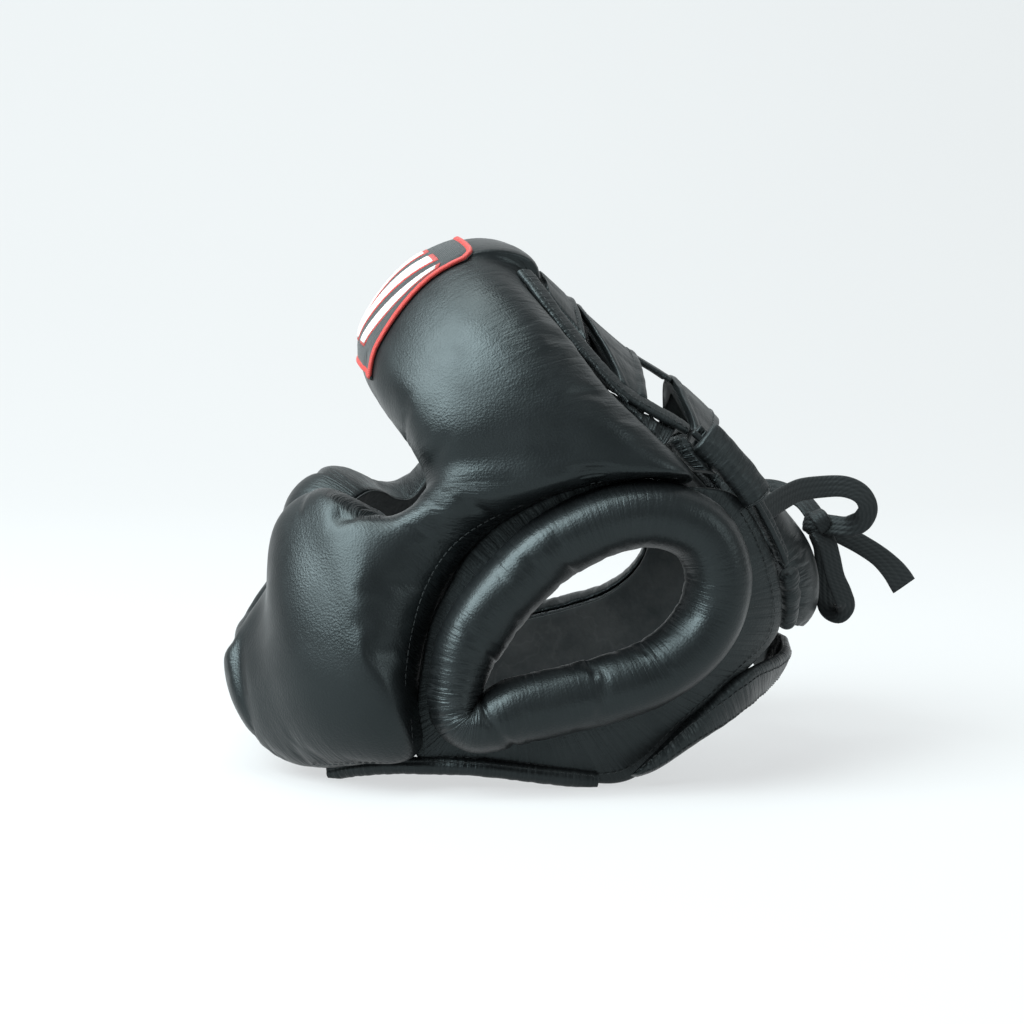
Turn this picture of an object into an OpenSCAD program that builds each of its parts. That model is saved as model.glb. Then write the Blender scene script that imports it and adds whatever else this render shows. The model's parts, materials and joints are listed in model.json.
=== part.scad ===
// Full-face boxing headgear of padded leather, with ear rings, a strapped crown and a laced back.
// Pieces are drawn as if worn: face towards -X, left ear towards -Y, crown up. The last step leans
// the whole headgear back until it stands on the four corners of its jaw edges.

/* [Stance] */
// Backward lean of the headgear as it stands on its jaw edges, in degrees
lean = 28; // [24:1:32]

/* [Head space] */
// Width of the space for the head, from lining to lining at the ears
head_w = 142; // [134:1:150]
// Length of the space for the head, from brow to back
head_l = 172; // [166:1:178]

/* [Padding] */
// Thickness of the forehead pad
forehead_t = 29; // [24:1:31]
// Thickness of the pad at the temples
temple_t = 24; // [20:1:28]
// Thickness of the cheek pads
cheek_t = 31; // [26:1:34]
// Thickness of the chin bar
chin_t = 26; // [22:1:28]
// Thickness of the pad at the back of the head
back_t = 17; // [12:1:20]

/* [Ear rings] */
// Half width of an ear ring's padded tube
ring_r = 12.5; // [11:0.5:13]
// Height of an ear ring above its side panel
ring_h = 23; // [18:1:26]

/* [Leather] */
// Thickness of the outer leather
leather = 1.6; // [1.2:0.1:2]
// Thickness of the lining
lining = 1.2; // [0.8:0.1:1.5]
// Thickness of a leather strap
strap_t = 2.4; // [2:0.1:3]

/* [Lace] */
// Width of the flat lace
lace_w = 10; // [8:0.5:12]
// Thickness of the flat lace
lace_t = 2.2; // [1.6:0.1:2.6]

/* [Hidden] */
axis_x = 20;           // the head's upright axis lies this far behind the model's own axis
gap = 0.12;            // clearance between layers that lie on each other
pad_floor = lining + gap;
panel_t = 3.6;         // side panel, from the lining's outer face
panel_top = pad_floor + panel_t;
front_n = 2.2;         // exponent of the head's oval section in front of its upright axis

// The head space, level by level: height; half lengths forward, backward and sideways as shares of
// half the head's length and width; exponent of the oval section behind the upright axis.
LEVELS = [
  [-140, 0.66, 0.86, 0.78, 4.0], [-110, 0.82, 0.92, 0.94, 4.0], [-80, 0.91, 0.98, 1.06, 4.0],
  [-40, 0.97, 1.06, 1.04, 4.0], [0, 0.92, 1.11, 1.00, 3.6], [30, 0.93, 1.08, 0.98, 3.2],
  [52, 0.92, 0.90, 0.92, 3.0], [70, 0.84, 0.58, 0.81, 3.0], [83, 0.70, 0.38, 0.64, 3.0],
  [94, 0.48, 0.25, 0.42, 3.0]
];

function lerp(a, b, t) = a + (b - a) * t;
function unit(v) = v / norm(v);
function catmull(a, b, c, d, t) =
  0.5 * (2 * b + (c - a) * t + (2 * a - 5 * b + 4 * c - d) * t * t + (3 * b - a - 3 * c + d) * t * t * t);
function at_end(list, i) = list[max(0, min(len(list) - 1, i))];
// Smooth open and closed curves through a list of values or points, n steps to a span.
function open_curve(p, n) = concat(
  [for (i = [0:len(p) - 2], k = [0:n - 1])
    catmull(at_end(p, i - 1), p[i], p[i + 1], at_end(p, i + 2), k / n)],
  [p[len(p) - 1]]);
function closed_curve(p, n) = let (m = len(p))
  [for (i = [0:m - 1], k = [0:n - 1])
    catmull(p[(i + m - 1) % m], p[i], p[(i + 1) % m], p[(i + 2) % m], k / n)];

function level_under(z, i = 0) = i >= len(LEVELS) - 2 || z < LEVELS[i + 1][0] ? i : level_under(z, i + 1);
function slope(i) = let (a = at_end(LEVELS, i - 1), b = at_end(LEVELS, i + 1)) (b - a) / (b[0] - a[0]);
// The head space at height z, as [half length forward, backward, sideways, exponent behind].
function size_at(z) =
  let (i = level_under(z), a = LEVELS[i], b = LEVELS[i + 1], h = b[0] - a[0], t = (z - a[0]) / h,
       s = (2 * t * t * t - 3 * t * t + 1) * a + (t * t * t - 2 * t * t + t) * h * slope(i)
         + (3 * t * t - 2 * t * t * t) * b + (t * t * t - t * t) * h * slope(i + 1))
  [s[1] * head_l / 2, s[2] * head_l / 2, s[3] * head_w / 2, s[4]];
function reach(angle, z) =
  let (s = size_at(z), c = cos(angle), lengthwise = c > 0 ? s[0] : s[1], n = c > 0 ? front_n : s[3])
  pow(pow(abs(c) / lengthwise, n) + pow(abs(sin(angle)) / s[2], n), -1 / n);
// A point of the head space's wall. The angle runs from the face (0) over the left ear (90) to the back.
function wall(angle, z) = let (r = reach(angle, z)) [axis_x - r * cos(angle), -r * sin(angle), z];
function outward(angle, z) =
  let (u = wall(angle + 1, z) - wall(angle - 1, z), v = wall(angle, z + 1) - wall(angle, z - 1))
  unit(cross(u, v));
// A point t outside that wall.
function skin_at(angle, z, t) = wall(angle, z) + t * outward(angle, z);
// The angle at which the wall at height z stands at x on the left side.
function angle_at(x, z, lo = 0, hi = 180, k = 16) =
  let (mid = (lo + hi) / 2)
  k == 0 ? mid : wall(mid, z)[0] < x ? angle_at(x, z, mid, hi, k - 1) : angle_at(x, z, lo, mid, k - 1);
function seat(p) = [angle_at(p[0], p[1]), p[1]];

// A solid between two grids of points. Each row runs across the piece; wrap joins the last to the first.
module slab(top, bottom, wrap = false) {
  n = len(top);
  m = len(top[0]);
  rows = wrap ? n : n - 1;
  function t(i, j) = (i % n) * m + j;
  function b(i, j) = n * m + t(i, j);
  faces = concat(
    [for (i = [0:rows - 1], j = [0:m - 2]) each [
      [t(i, j), t(i, j + 1), t(i + 1, j + 1)], [t(i, j), t(i + 1, j + 1), t(i + 1, j)],
      [b(i, j), b(i + 1, j + 1), b(i, j + 1)], [b(i, j), b(i + 1, j), b(i + 1, j + 1)]]],
    [for (i = [0:rows - 1]) each [
      [t(i, 0), t(i + 1, 0), b(i + 1, 0)], [t(i, 0), b(i + 1, 0), b(i, 0)],
      [t(i, m - 1), b(i + 1, m - 1), t(i + 1, m - 1)], [t(i, m - 1), b(i, m - 1), b(i + 1, m - 1)]]],
    wrap ? [] : [for (j = [0:m - 2]) each [
      [t(0, j), b(0, j + 1), t(0, j + 1)], [t(0, j), b(0, j), b(0, j + 1)],
      [t(n - 1, j), t(n - 1, j + 1), b(n - 1, j + 1)], [t(n - 1, j), b(n - 1, j + 1), b(n - 1, j)]]]);
  polyhedron(points = concat([for (row = top) each row], [for (row = bottom) each row]), faces = faces);
}

// A solid skinned over closed outlines, each a list of points round a centre.
module tube(rings) {
  n = len(rings);
  k = len(rings[0]);
  sides = [for (i = [0:n - 2], j = [0:k - 1]) each [
    [i * k + j, i * k + (j + 1) % k, (i + 1) * k + (j + 1) % k],
    [i * k + j, (i + 1) * k + (j + 1) % k, (i + 1) * k + j]]];
  polyhedron(
    points = [for (r = rings) each r],
    faces = concat(sides, [[for (j = [k - 1:-1:0]) j], [for (j = [0:k - 1]) (n - 1) * k + j]]));
}

// Rings of an oval section, w across and h deep, along a path; the depth follows the facing directions.
function strip_rings(path, facing, w, h, k = 8) = [for (i = [0:len(path) - 1])
  let (along = unit(at_end(path, i + 1) - at_end(path, i - 1)),
       up = unit(facing[i] - (facing[i] * along) * along),
       across = cross(along, up), grow = 0.5 / cos(180 / k))
  [for (j = [0:k - 1]) let (a = 360 * (j + 0.5) / k)
    path[i] + across * w * grow * cos(a) + up * h * grow * sin(a)]];
module strip_along(path, facing, w, h, k = 8) tube(strip_rings(path, facing, w, h, k));

stand_x = -5.9;
stand_z = 99;
function standing(p) =
  [p[0] * cos(lean) + p[2] * sin(lean) + stand_x, p[1], p[2] * cos(lean) - p[0] * sin(lean) + stand_z];
module worn_to_standing() translate([stand_x, 0, stand_z]) rotate([0, lean, 0]) children();
module right_hand() mirror([0, 1, 0]) children();

// ---- Face panel: one padded loop round the face opening ----
// Ribs from the face opening's edge to the panel's outer edge, forehead centre to chin centre, left half:
// [opening angle, opening z, outer angle, outer z, thickness, inner rounding, outer rounding, outer edge,
//  bend]
function rib(opening, outer, t, soft_in, soft_out, edge, bend = 0) =
  concat(opening, outer, [t, soft_in, soft_out, edge, bend]);
LEFT_RIBS = [
  rib([0, 14], [0, 86], forehead_t, 30, 32, 8),
  rib([14, 13], [20, 85], forehead_t, 28, 31, 8),
  rib([25, 10.5], seat([-36, 80]), forehead_t, 25, 28, 6),
  rib([34, 7], seat([-15, 70]), lerp(forehead_t, temple_t, 0.3), 20, 24, 6),
  rib([40, 3], seat([6, 61]), lerp(forehead_t, temple_t, 0.6), 16, 24, 5),
  rib([43, -1], seat([30, 54]), temple_t, 16, 22, 5, 5),
  rib([45, -5], seat([49, 46.5]), temple_t, 16, 20, 5, 9),
  rib([45.5, -9], seat([33, 40]), temple_t, 16, 22, 5, 6),
  rib([45.5, -13], seat([14, 27]), temple_t, 16, 24, 5, 3),
  rib([45, -17], seat([-2, 8]), temple_t, 16, 26, 5),
  rib([43, -20.5], seat([-12, -15]), lerp(temple_t, cheek_t, 0.3), 15, 28, 5),
  rib([38, -22], seat([-14, -42]), lerp(temple_t, cheek_t, 0.7), 15, 30, 5),
  rib([31, -21.5], seat([-7, -70]), cheek_t, 15, 32, 5),
  rib([23, -24], seat([4.5, -88.5]), cheek_t, 15, 34, 5),
  rib([16, -33], seat([-8, -102.5]), cheek_t, 15, 34, 6),
  rib([12, -50], seat([-19, -113.5]), lerp(cheek_t, chin_t, 0.9), 16, 36, 6),
  rib([12, -68], seat([-28, -121]), lerp(cheek_t, chin_t, 0.9), 18, 40, 6),
  rib([14, -82], [34, -122], lerp(cheek_t, chin_t, 0.5), 16, 38, 5),
  rib([8, -89], [17, -118], chin_t, 13, 42, 4),
  rib([0, -90], [0, -116.5], chin_t, 13, 42, 4)
];
function other_side(r) = [-r[0], r[1], -r[2], r[3], r[4], r[5], r[6], r[7], r[8]];
half_ribs = len(LEFT_RIBS) - 1;
RIBS = concat(LEFT_RIBS, [for (i = [half_ribs - 1:-1:1]) other_side(LEFT_RIBS[i])]);
rib_steps = 2;
FACE = closed_curve(RIBS, rib_steps);
ACROSS = [0, 0.06, 0.2, 0.45, 0.7, 0.9, 1];
function rounded(q) = q >= 1 ? 1 : sqrt(1 - (1 - q) * (1 - q));
function rib_length(r) = norm(wall(r[0], r[1]) - wall(r[2], r[3]));
// The panel's height above the wall at share s of a rib.
function face_height(r, s) =
  let (far = rib_length(r), edge = r[7] / r[4])
  pad_floor + (r[4] - pad_floor) * rounded(s * far / r[5]) * lerp(edge, 1, rounded((1 - s) * far / r[6]));
function face_point(r, s, t) =
  skin_at(lerp(r[0], r[2], s), lerp(r[1], r[3], s) + 4 * r[8] * s * (1 - s), t);
// The cover is a shell: its two rims turn down onto the lining, the filling lies inside them.
rim_w = 2.2;
fill_gap = 0.3;
function inset(s, r, rim = rim_w) = let (m = rim / rib_length(r)) lerp(m, 1 - m, s);
function cover_top(r, s) = face_point(r, s, max(pad_floor + leather, face_height(r, s)));
function fill_height(r, s) = max(pad_floor + 1, face_height(r, s) - leather);
function under_cover(r, s) = face_point(r, inset(s, r), fill_height(r, s));
function foam_point(r, s, t) =
  let (m = (rim_w + fill_gap) / rib_length(r)) face_point(r, lerp(m, 1 - 2 * m, s), t);
function rim_point(r, s) = face_point(r, s, pad_floor);
module face_cover() color("#1c2022") slab(
  [for (r = FACE) concat([rim_point(r, 0)], [for (s = ACROSS) cover_top(r, s)], [rim_point(r, 1)])],
  [for (r = FACE) concat(
    [rim_point(r, inset(0, r))], [for (s = ACROSS) under_cover(r, s)], [rim_point(r, inset(1, r))])],
  wrap = true);
module face_lining() color("#2a2728") slab(
  [for (r = FACE) [for (s = ACROSS) face_point(r, s, lining)]],
  [for (r = FACE) [for (s = ACROSS) face_point(r, s, 0)]], wrap = true);
// Foam of the panel's filling, from one station round to another.
function station(i) = FACE[(i + len(FACE)) % len(FACE)];
module face_foam(first, last) color("#6f7a80") slab(
  [for (i = [first:last]) let (r = station(i))
    [for (s = ACROSS) foam_point(r, s, fill_height(r, s) - 3 * fill_gap)]],
  [for (i = [first:last]) [for (s = ACROSS) foam_point(station(i), s, pad_floor + fill_gap)]]);
temple_corner = 6 * rib_steps;
cheek_top = 8 * rib_steps;
chin_station = 16 * rib_steps;
module forehead_foam() face_foam(-temple_corner, temple_corner);
module cheek_foam_left() face_foam(cheek_top, chin_station - 1);
module cheek_foam_right() face_foam(1 - chin_station, -cheek_top);
module chin_foam() face_foam(chin_station, 2 * half_ribs * rib_steps - chin_station);

// A plain sewn badge that follows the forehead.
patch_reach = 2.4;     // stations either side of the middle
PATCH_SHARE = [0.17, 0.82];  // its lower and upper edges, as shares of the ribs
patch_t = 1.05;
function station_at(u) = let (i = floor(u)) lerp(station(i), station(i + 1), u - i);
module forehead_patch() color("#141414") {
  cols = [for (c = [0:6]) lerp(PATCH_SHARE[0], PATCH_SHARE[1], c / 6)];
  stations = [for (i = [-4:4]) station_at(i * patch_reach / 4)];
  grids = [for (t = [patch_t, 0])
    [for (r = stations) [for (s = cols) face_point(r, s, face_height(r, s) + 2 * gap + t)]]];
  slab(grids[0], grids[1]);
}

// ---- Sides: panel, lining and ear ring ----
// Ear ring centre line and the side panel's outer edge, as [x, z] pairs seen from the left.
RING = [
  [12, -69.5], [5.5, -54], [4.5, -37], [8, -19], [14.5, 1], [27, 19], [43, 29], [59, 30],
  [71, 21], [76, 7], [75, -8], [68, -24], [56, -37.5], [43, -49.5], [31, -59.5], [20, -69]
];
PANEL_EDGE = [
  [7, -89], [-10.5, -57], [-13, -36], [-10.5, -13], [0, 8], [15, 26], [34, 38.7], [50, 45],
  [69, 49], [94, 33], [109, 12], [104, -8], [93, -37], [79, -62.5], [48, -74], [22, -84]
];
ring_steps = 2;
function on_side(p, t) = let (q = seat(p)) skin_at(q[0], q[1], t);
RING_CURVE = closed_curve(RING, ring_steps);
EDGE_CURVE = closed_curve(PANEL_EDGE, ring_steps);
function ring_side(i) =
  let (n = len(RING_CURVE), d = RING_CURVE[(i + 1) % n] - RING_CURVE[(i + n - 1) % n])
  unit([-d[1], d[0]]);
ear_edge = 8;          // the panel runs this far inside the ring's centre line
// Towards the ring's low front corner its inner half narrows, where the two runs of the tube meet.
function inner_share(i) = min(1, 0.5 + 0.14 * min(i, len(RING_CURVE) - i));
function panel_row(i, t) =
  let (inner = RING_CURVE[i] - ear_edge * inner_share(i) * ring_side(i), outer = EDGE_CURVE[i])
  [for (s = [0, 0.25, 0.6, 1]) on_side(lerp(inner, outer, s), t)];
module side_panel() color("#202426") slab(
  [for (i = [0:len(RING_CURVE) - 1]) panel_row(i, panel_top)],
  [for (i = [0:len(RING_CURVE) - 1]) panel_row(i, pad_floor)], wrap = true);
module side_lining() color("#2a2728") slab(
  [for (i = [0:len(RING_CURVE) - 1]) panel_row(i, lining)],
  [for (i = [0:len(RING_CURVE) - 1]) panel_row(i, 0)], wrap = true);

ring_floor = panel_top + gap;
// Section of a ring, inner side to outer side, as shares of its half width and height.
RING_SECTION = [
  [-0.85, 0], [-1, 0.25], [-0.93, 0.56], [-0.58, 0.88], [0, 1],
  [0.58, 0.88], [0.93, 0.56], [1.02, 0.25], [1.1, 0]
];
function foot_lift(less, high) = less == 0 ? 0 : high == 0 ? 0.2 : 1;
function ring_row(i, less, high = 1) =
  let (p = RING_CURVE[i], side = ring_side(i), foot = on_side(p, ring_floor), q = seat(p),
       up = outward(q[0], q[1]), flat = unit(on_side(p + side, ring_floor) - on_side(p - side, ring_floor)))
  [for (a = RING_SECTION)
    foot + flat * (ring_r - less) * a[0] * (a[0] < 0 ? inner_share(i) : 1)
      + up * max(a[1] * high * (ring_h - less), foot_lift(less, high))];
RING_ROWS = [0:len(RING_CURVE) - 1];
ring_fill = leather + 5 * fill_gap;
module ear_ring_cover() color("#1c2022") slab(
  [for (i = RING_ROWS) ring_row(i, 0)], [for (i = RING_ROWS) ring_row(i, leather)], wrap = true);
module ear_ring_foam() color("#6f7a80") slab(
  [for (i = RING_ROWS) ring_row(i, ring_fill)],
  [for (i = RING_ROWS) ring_row(i, ring_fill, 0)], wrap = true);

// Folded binding along the jaw edge, from the chin's underside to the corner behind the ear: [x, y, z].
JAW = [
  [-20, -57.5, -121], [-12, -65.5, -112.5], [3, -74.5, -101.5],
  [27, -80.5, -88.5], [50, -81, -79.5], [72, -79, -71.5]
];
binding_w = 6;
binding_h = 7;
// The binding's underside is pressed flat where it stands on a table.
module jaw_binding() color("#191c1e") {
  path = [for (p = open_curve(JAW, 3)) standing(p)];
  facing = [for (p = path) [0, -1, 0.1]];
  tube([for (r = strip_rings(path, facing, binding_h, binding_w))
    [for (p = r) [p[0], p[1], max(p[2], 0)]]]);
}

// ---- Crown ----
// Height of the crown along its middle: [x, z] from the forehead pad to the back pad.
CROWN = open_curve([
  [-50, 93.6], [-36, 91.2], [-19, 86.8], [-4, 83], [12, 79.8],
  [27, 78.8], [41, 77.2], [60, 71], [80, 58]
], 4);
crown_fall = 0.0042;   // the crown drops by this times the square of the distance from the middle
function crown(x, y) = [x, y, lookup(x, CROWN) - crown_fall * y * y];
// Half width between the crown's side bands, by x.
BAND = open_curve([[-44, 32], [-31, 43.5], [-15, 52], [0, 57], [13, 59.5], [27, 59], [41, 57]], 3);
band_w = 7;
band_t = 3.2;

// A strap or flap lying on the crown. Each row is [x in the middle, x at its sides, half width].
module on_crown(rows) {
  m = 8;
  grid = [for (r = rows)
    [for (j = [0:m]) let (u = 2 * j / m - 1) crown(lerp(r[0], r[1], u * u), r[2] * u)]];
  slab([for (row = grid) [for (p = row) p + [0, 0, strap_t]]], grid);
}
module crown_front_flap() color("#1e2123")
  on_crown([[-37.2, -33.2, 27], [-35, -32.5, 31], [-32, -31, 34.5], [-27, -27.5, 38], [-22.5, -24, 41.5]]);
// The cross strap is a leaf: broad in the middle, a narrow tip at each side band.
module crown_cross_strap() color("#202426") {
  m = 16;
  reach_y = 56;
  rows = [for (j = [0:m])
    let (u = 2 * j / m - 1, a = 10 - 31 * pow(cos(90 * u), 1.4), b = 19 - 6 * cos(90 * u))
    [for (k = [0:4]) crown(lerp(a, b, k / 4), -reach_y * u)]];
  slab([for (row = rows) [for (p = row) p + [0, 0, strap_t]]], rows);
}
module crown_centre_strap() color("#202426") on_crown([[14, 14, 10], [22, 22, 9], [30.6, 31, 10]]);
module crown_rear_flap() color("#202426")
  on_crown([[31, 43, 53], [36, 45, 53.5], [42, 47, 53], [49, 49, 52], [56, 51, 50]]);
module crown_band() color("#1e2123") {
  path = [for (b = BAND) crown(b[0], -b[1]) + [0, 0, 1.2]];
  strip_along(path, [for (p = path) [0, -0.45, 0.9]], band_w, band_t);
}
// Flat leather between the forehead pad's rear edge and the side band.
gusset_t = 2.4;
module crown_gusset() color("#26282b") {
  foot = open_curve([for (p = [[14, 61.7], [21, 59.5], [28, 57.3], [34, 55.3]]) on_side(p, 3.6)], 3);
  n = len(foot) - 1;
  rim = [for (i = [0:n]) let (x = lerp(12, 36, i / n))
    crown(x, -lookup(x, BAND) - band_w / 2 - 1) - [0, 0, 1.2]];
  rows = [for (i = [0:n]) [foot[i], lerp(rim[i], foot[i], 0.5), rim[i]]];
  slab(rows, [for (row = rows) [for (p = row) p - [0, -0.3, 0.95] * gusset_t]]);
}
// Soft wedge between the forehead pad, the crown and the side panel.
module side_wedge() color("#202426") {
  a = open_curve([[35.5, 56.4], [42, 53.4], [49, 51]], 3);
  b = open_curve([[40, 61], [49, 58], [58, 54]], 3);
  rows = [for (i = [0:len(a) - 1]) [for (s = [0, 0.35, 0.7, 1]) lerp(a[i], b[i], s)]];
  slab([for (r = rows) [for (j = [0:3]) on_side(r[j], [5, 7.5, 6, 3][j])]],
       [for (r = rows) [for (p = r) on_side(p, pad_floor)]]);
}

// ---- Rear edge, back pad and sleeves ----
// The rolled rear edge runs from the crown to the lower back: [x, z] seen from the left.
ROLL = open_curve([
  [42, 64.3], [54, 60.5], [70, 53.8], [84.5, 45], [97, 35.5], [106.5, 25], [112, 14.5]
], 3);
roll_r = 3;
roll_end = 12;
function roll_path(first, last, lift, aside = 0) = [for (i = [first:last])
  on_side(ROLL[i], lift) + aside * unit(on_side(ROLL[i] + [1, 2], lift) - on_side(ROLL[i], lift))];
function roll_facing(first, last) = [for (i = [first:last]) let (q = seat(ROLL[i])) outward(q[0], q[1])];
piping_w = 2.8;
module rear_roll() color("#1a1d1f")
  strip_along(roll_path(0, roll_end, 3.4, 0.8), roll_facing(0, roll_end), 2 * roll_r, 2 * roll_r);
module rear_piping() color("#16191b")
  strip_along(roll_path(0, roll_end, 7, -3.4), roll_facing(0, roll_end), piping_w, piping_w);
module lower_sleeve() color("#1e2224") {
  last = len(ROLL) - 1;
  strip_along(roll_path(roll_end + 1, last, 4, 0.8), roll_facing(roll_end + 1, last), 10, 8);
}
// Leather wrapped over the rolled edge just behind the crown, open at its lower end.
SLEEVE_ARC = [[9, 1.8], [9.5, 5], [6, 8.4], [0, 8.4], [-4.5, 6.6], [-5.6, 3.4]];
sleeve_first = 2;
sleeve_last = 5;
function sleeve_row(path, up, i, thick) =
  let (along = unit(at_end(path, i + 1) - at_end(path, i - 1)), across = unit(cross(along, up[i])))
  [for (a = SLEEVE_ARC) path[i] + across * a[0] * thick + up[i] * (a[1] * thick + (1 - thick) * 2)];
module upper_sleeve() color("#202426") {
  path = roll_path(sleeve_first, sleeve_last, 3.4, 0.8);
  up = roll_facing(sleeve_first, sleeve_last);
  faces = [for (share = [1, 0.76]) [for (i = [0:len(path) - 1]) sleeve_row(path, up, i, share)]];
  slab(faces[0], faces[1]);
}

// Back pad: outer profile along the middle and half width, as [x, z, half width].
PAD = open_curve([
  [51, 71.5, 40], [66, 66.5, 43], [82, 59.5, 44], [97, 54, 42],
  [113, 47, 37], [124, 37, 33], [130, 26, 31], [131.5, 15, 29]
], 2);
pad_edge = 5;
function pad_in(i) = let (d = at_end(PAD, i + 1) - at_end(PAD, i - 1)) unit([d[1], -d[0]]) * -1;
function pad_point(i, u, depth) =
  let (n = pad_in(i), sag = 9 * u * u)
  [PAD[i][0] - n[0] * (sag + depth), PAD[i][2] * u, PAD[i][1] - n[1] * (sag + depth)];
PAD_ACROSS = [-1, -0.93, -0.7, -0.35, 0, 0.35, 0.7, 0.93, 1];
function pad_body(i, u) = let (end = min(i, len(PAD) - 1 - i) / 2)
  lerp(pad_edge, back_t, rounded(min(1, (1 - abs(u)) / 0.5)) * rounded(min(1, 0.35 + end / 2)));
function pad_out(i, u) = (back_t - pad_body(i, u)) * 0.5;
pad_last = len(PAD) - 1;
// The pad's surface at a depth below its outer face, and at a height above its inner face.
pad_inner = 0.97;      // the filling is this share of the pad's width
function pad_face(depth, share = 1) =
  [for (i = [0:pad_last]) [for (u = PAD_ACROSS) pad_point(i, u * share, pad_out(i, u) + depth)]];
function pad_back(height, share = 1) =
  [for (i = [0:pad_last])
    [for (u = PAD_ACROSS) pad_point(i, u * share, pad_out(i, u) + pad_body(i, u) - height)]];
module back_pad_cover() color("#1c2022") slab(pad_face(0), pad_face(leather, pad_inner));
module back_pad_foam() color("#6f7a80")
  slab(pad_face(leather + gap, pad_inner), pad_back(lining + gap, pad_inner));
module back_pad_lining() color("#2a2728") slab(pad_back(lining), pad_back(0));

// ---- Nape strap ----
// Edges of the strap from the left jaw corner to the middle of the nape: [x, y, z].
STRAP_TOP = [
  [82, -80.5, -64], [88, -77, -52], [96.5, -71, -34.5],
  [107.5, -61.5, -11], [120, -35, 3], [125, 0, 7]
];
STRAP_LOW = [
  [84.5, -80.5, -63], [91, -77.5, -56], [102, -68, -39],
  [115.5, -45, -20.5], [125, -14, -10.5], [126.5, 0, -9]
];
nape_t = 4;
overlap = 25;          // strap and stub each run about this far past the middle
// The whole line round the nape, left corner to right corner.
function round_nape(list) =
  concat(list, [for (i = [len(list) - 2:-1:0]) [list[i][0], -list[i][1], list[i][2]]]);
STRAP_A = round_nape(open_curve(STRAP_TOP, 3));
STRAP_B = round_nape(open_curve(STRAP_LOW, 3));
half_nape = (len(STRAP_A) - 1) / 2;
past_middle = 2;       // points of the line past the middle, on either side
function strap_line(list) = [for (i = [0:half_nape + past_middle]) list[i]];
function strap_out(a, b, i) =
  let (along = at_end(a, i + 1) - at_end(a, i - 1), side = a[i] - b[i]) unit(cross(along, side));
// A flat band between two edges. The heights of its two faces are [at the edges, in the middle].
module flat_strap(a, b, over, under = [0, 0]) {
  n = len(a);
  out = [for (i = [0:n - 1]) strap_out(a, b, i)];
  grids = [for (face = [over, under]) [for (i = [0:n - 1])
    [for (s = [1, 0.5, 0]) lerp(a[i], b[i], s) + out[i] * face[s == 0.5 ? 1 : 0]]]];
  slab(grids[0], grids[1]);
}
module nape_strap() color("#1c2022")
  flat_strap(strap_line(STRAP_A), strap_line(STRAP_B), [nape_t, 1.25 * nape_t]);

// The short stub comes from the right and dips under the strap's end.
stub_dip = 7.4;
function dip(y) = stub_dip * max(0, min(1, (overlap + 10 - y) / 9));
function stub_line(list) =
  [for (i = [half_nape - past_middle:2 * half_nape]) list[i] - [dip(list[i][1]), 0, 0]];
stub_t = 3.2;
module nape_stub() color("#1c2022")
  flat_strap(stub_line(STRAP_A), stub_line(STRAP_B), [stub_t, 1.25 * stub_t]);

// Hook-and-loop closure: hooks inside the strap's end, loops on the stub.
closure_t = 0.8;
CLOSURE_Y = [-15, 15];
function closure_line(list) = [for (p = list) if (p[1] > CLOSURE_Y[0] && p[1] < CLOSURE_Y[1]) p];
module closure_patch(line_a, line_b, over, under) {
  a = closure_line(line_a);
  b = closure_line(line_b);
  n = len(a);
  flat_strap(
    [for (i = [0:n - 1]) lerp(a[i], b[i], 0.1)], [for (i = [0:n - 1]) lerp(b[i], a[i], 0.1)], over, under);
}
module hook_patch() color("#121314") {
  under = [-gap - closure_t, -gap - closure_t];
  closure_patch(strap_line(STRAP_A), strap_line(STRAP_B), [-gap, -gap], under);
}
module loop_patch() color("#121314") {
  under = [stub_t + 0.5, 1.25 * stub_t + 0.3];
  closure_patch(stub_line(STRAP_A), stub_line(STRAP_B), [for (h = under) h + closure_t], under);
}

// ---- Lace, laid in the standing frame: [x, y, z] ----
LACE_LEFT = [
  [94.5, -38, 103], [101.5, -30, 106.5], [110.5, -21, 109.5], [120.5, -16, 110.5],
  [130.5, -15, 110.5], [137.5, -15, 107.5], [140.5, -15, 102], [138.5, -14, 96.5],
  [133.5, -11, 93.5], [127.5, -7, 93.5], [122.5, -4, 94]
];
LACE_RIGHT = [
  [87, 50, 105], [95, 40, 106.5], [102.5, 31, 106], [110.5, 20, 105.5], [117.5, 8, 102], [121.5, 1, 96.5]
];
LACE_LOOP = [
  [122.5, -5, 91], [125, -8, 86], [126.5, -9, 80], [128.5, -9, 72], [131.5, -9, 65], [133, -8, 60],
  [130.5, -5, 56.5], [127, -1, 58], [126.5, 3, 65], [126.5, 5, 74], [125.5, 5, 83], [122.5, 3, 90]
];
LACE_TAIL = [
  [122.5, -1, 93], [127.5, 0, 91.5], [133.5, 0, 88.5], [141, -1, 84.5],
  [148.5, -2, 79.5], [154.5, -3, 73.5], [158.5, -4, 67.5]
];
KNOT = [122, -1.5, 93.5];
knot_r = 6.5;
module lace(route) color("#17181a") {
  path = open_curve(route, 3);
  strip_along(path, [for (p = path) [0.3, -1, 0.3]], lace_w, lace_t);
}
module lace_left() lace(LACE_LEFT);
module lace_right() lace(LACE_RIGHT);
module lace_loop() lace(LACE_LOOP);
module lace_tail() lace(LACE_TAIL);
module lace_knot() color("#17181a") translate(KNOT) sphere(r = knot_r, $fn = 32);

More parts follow.
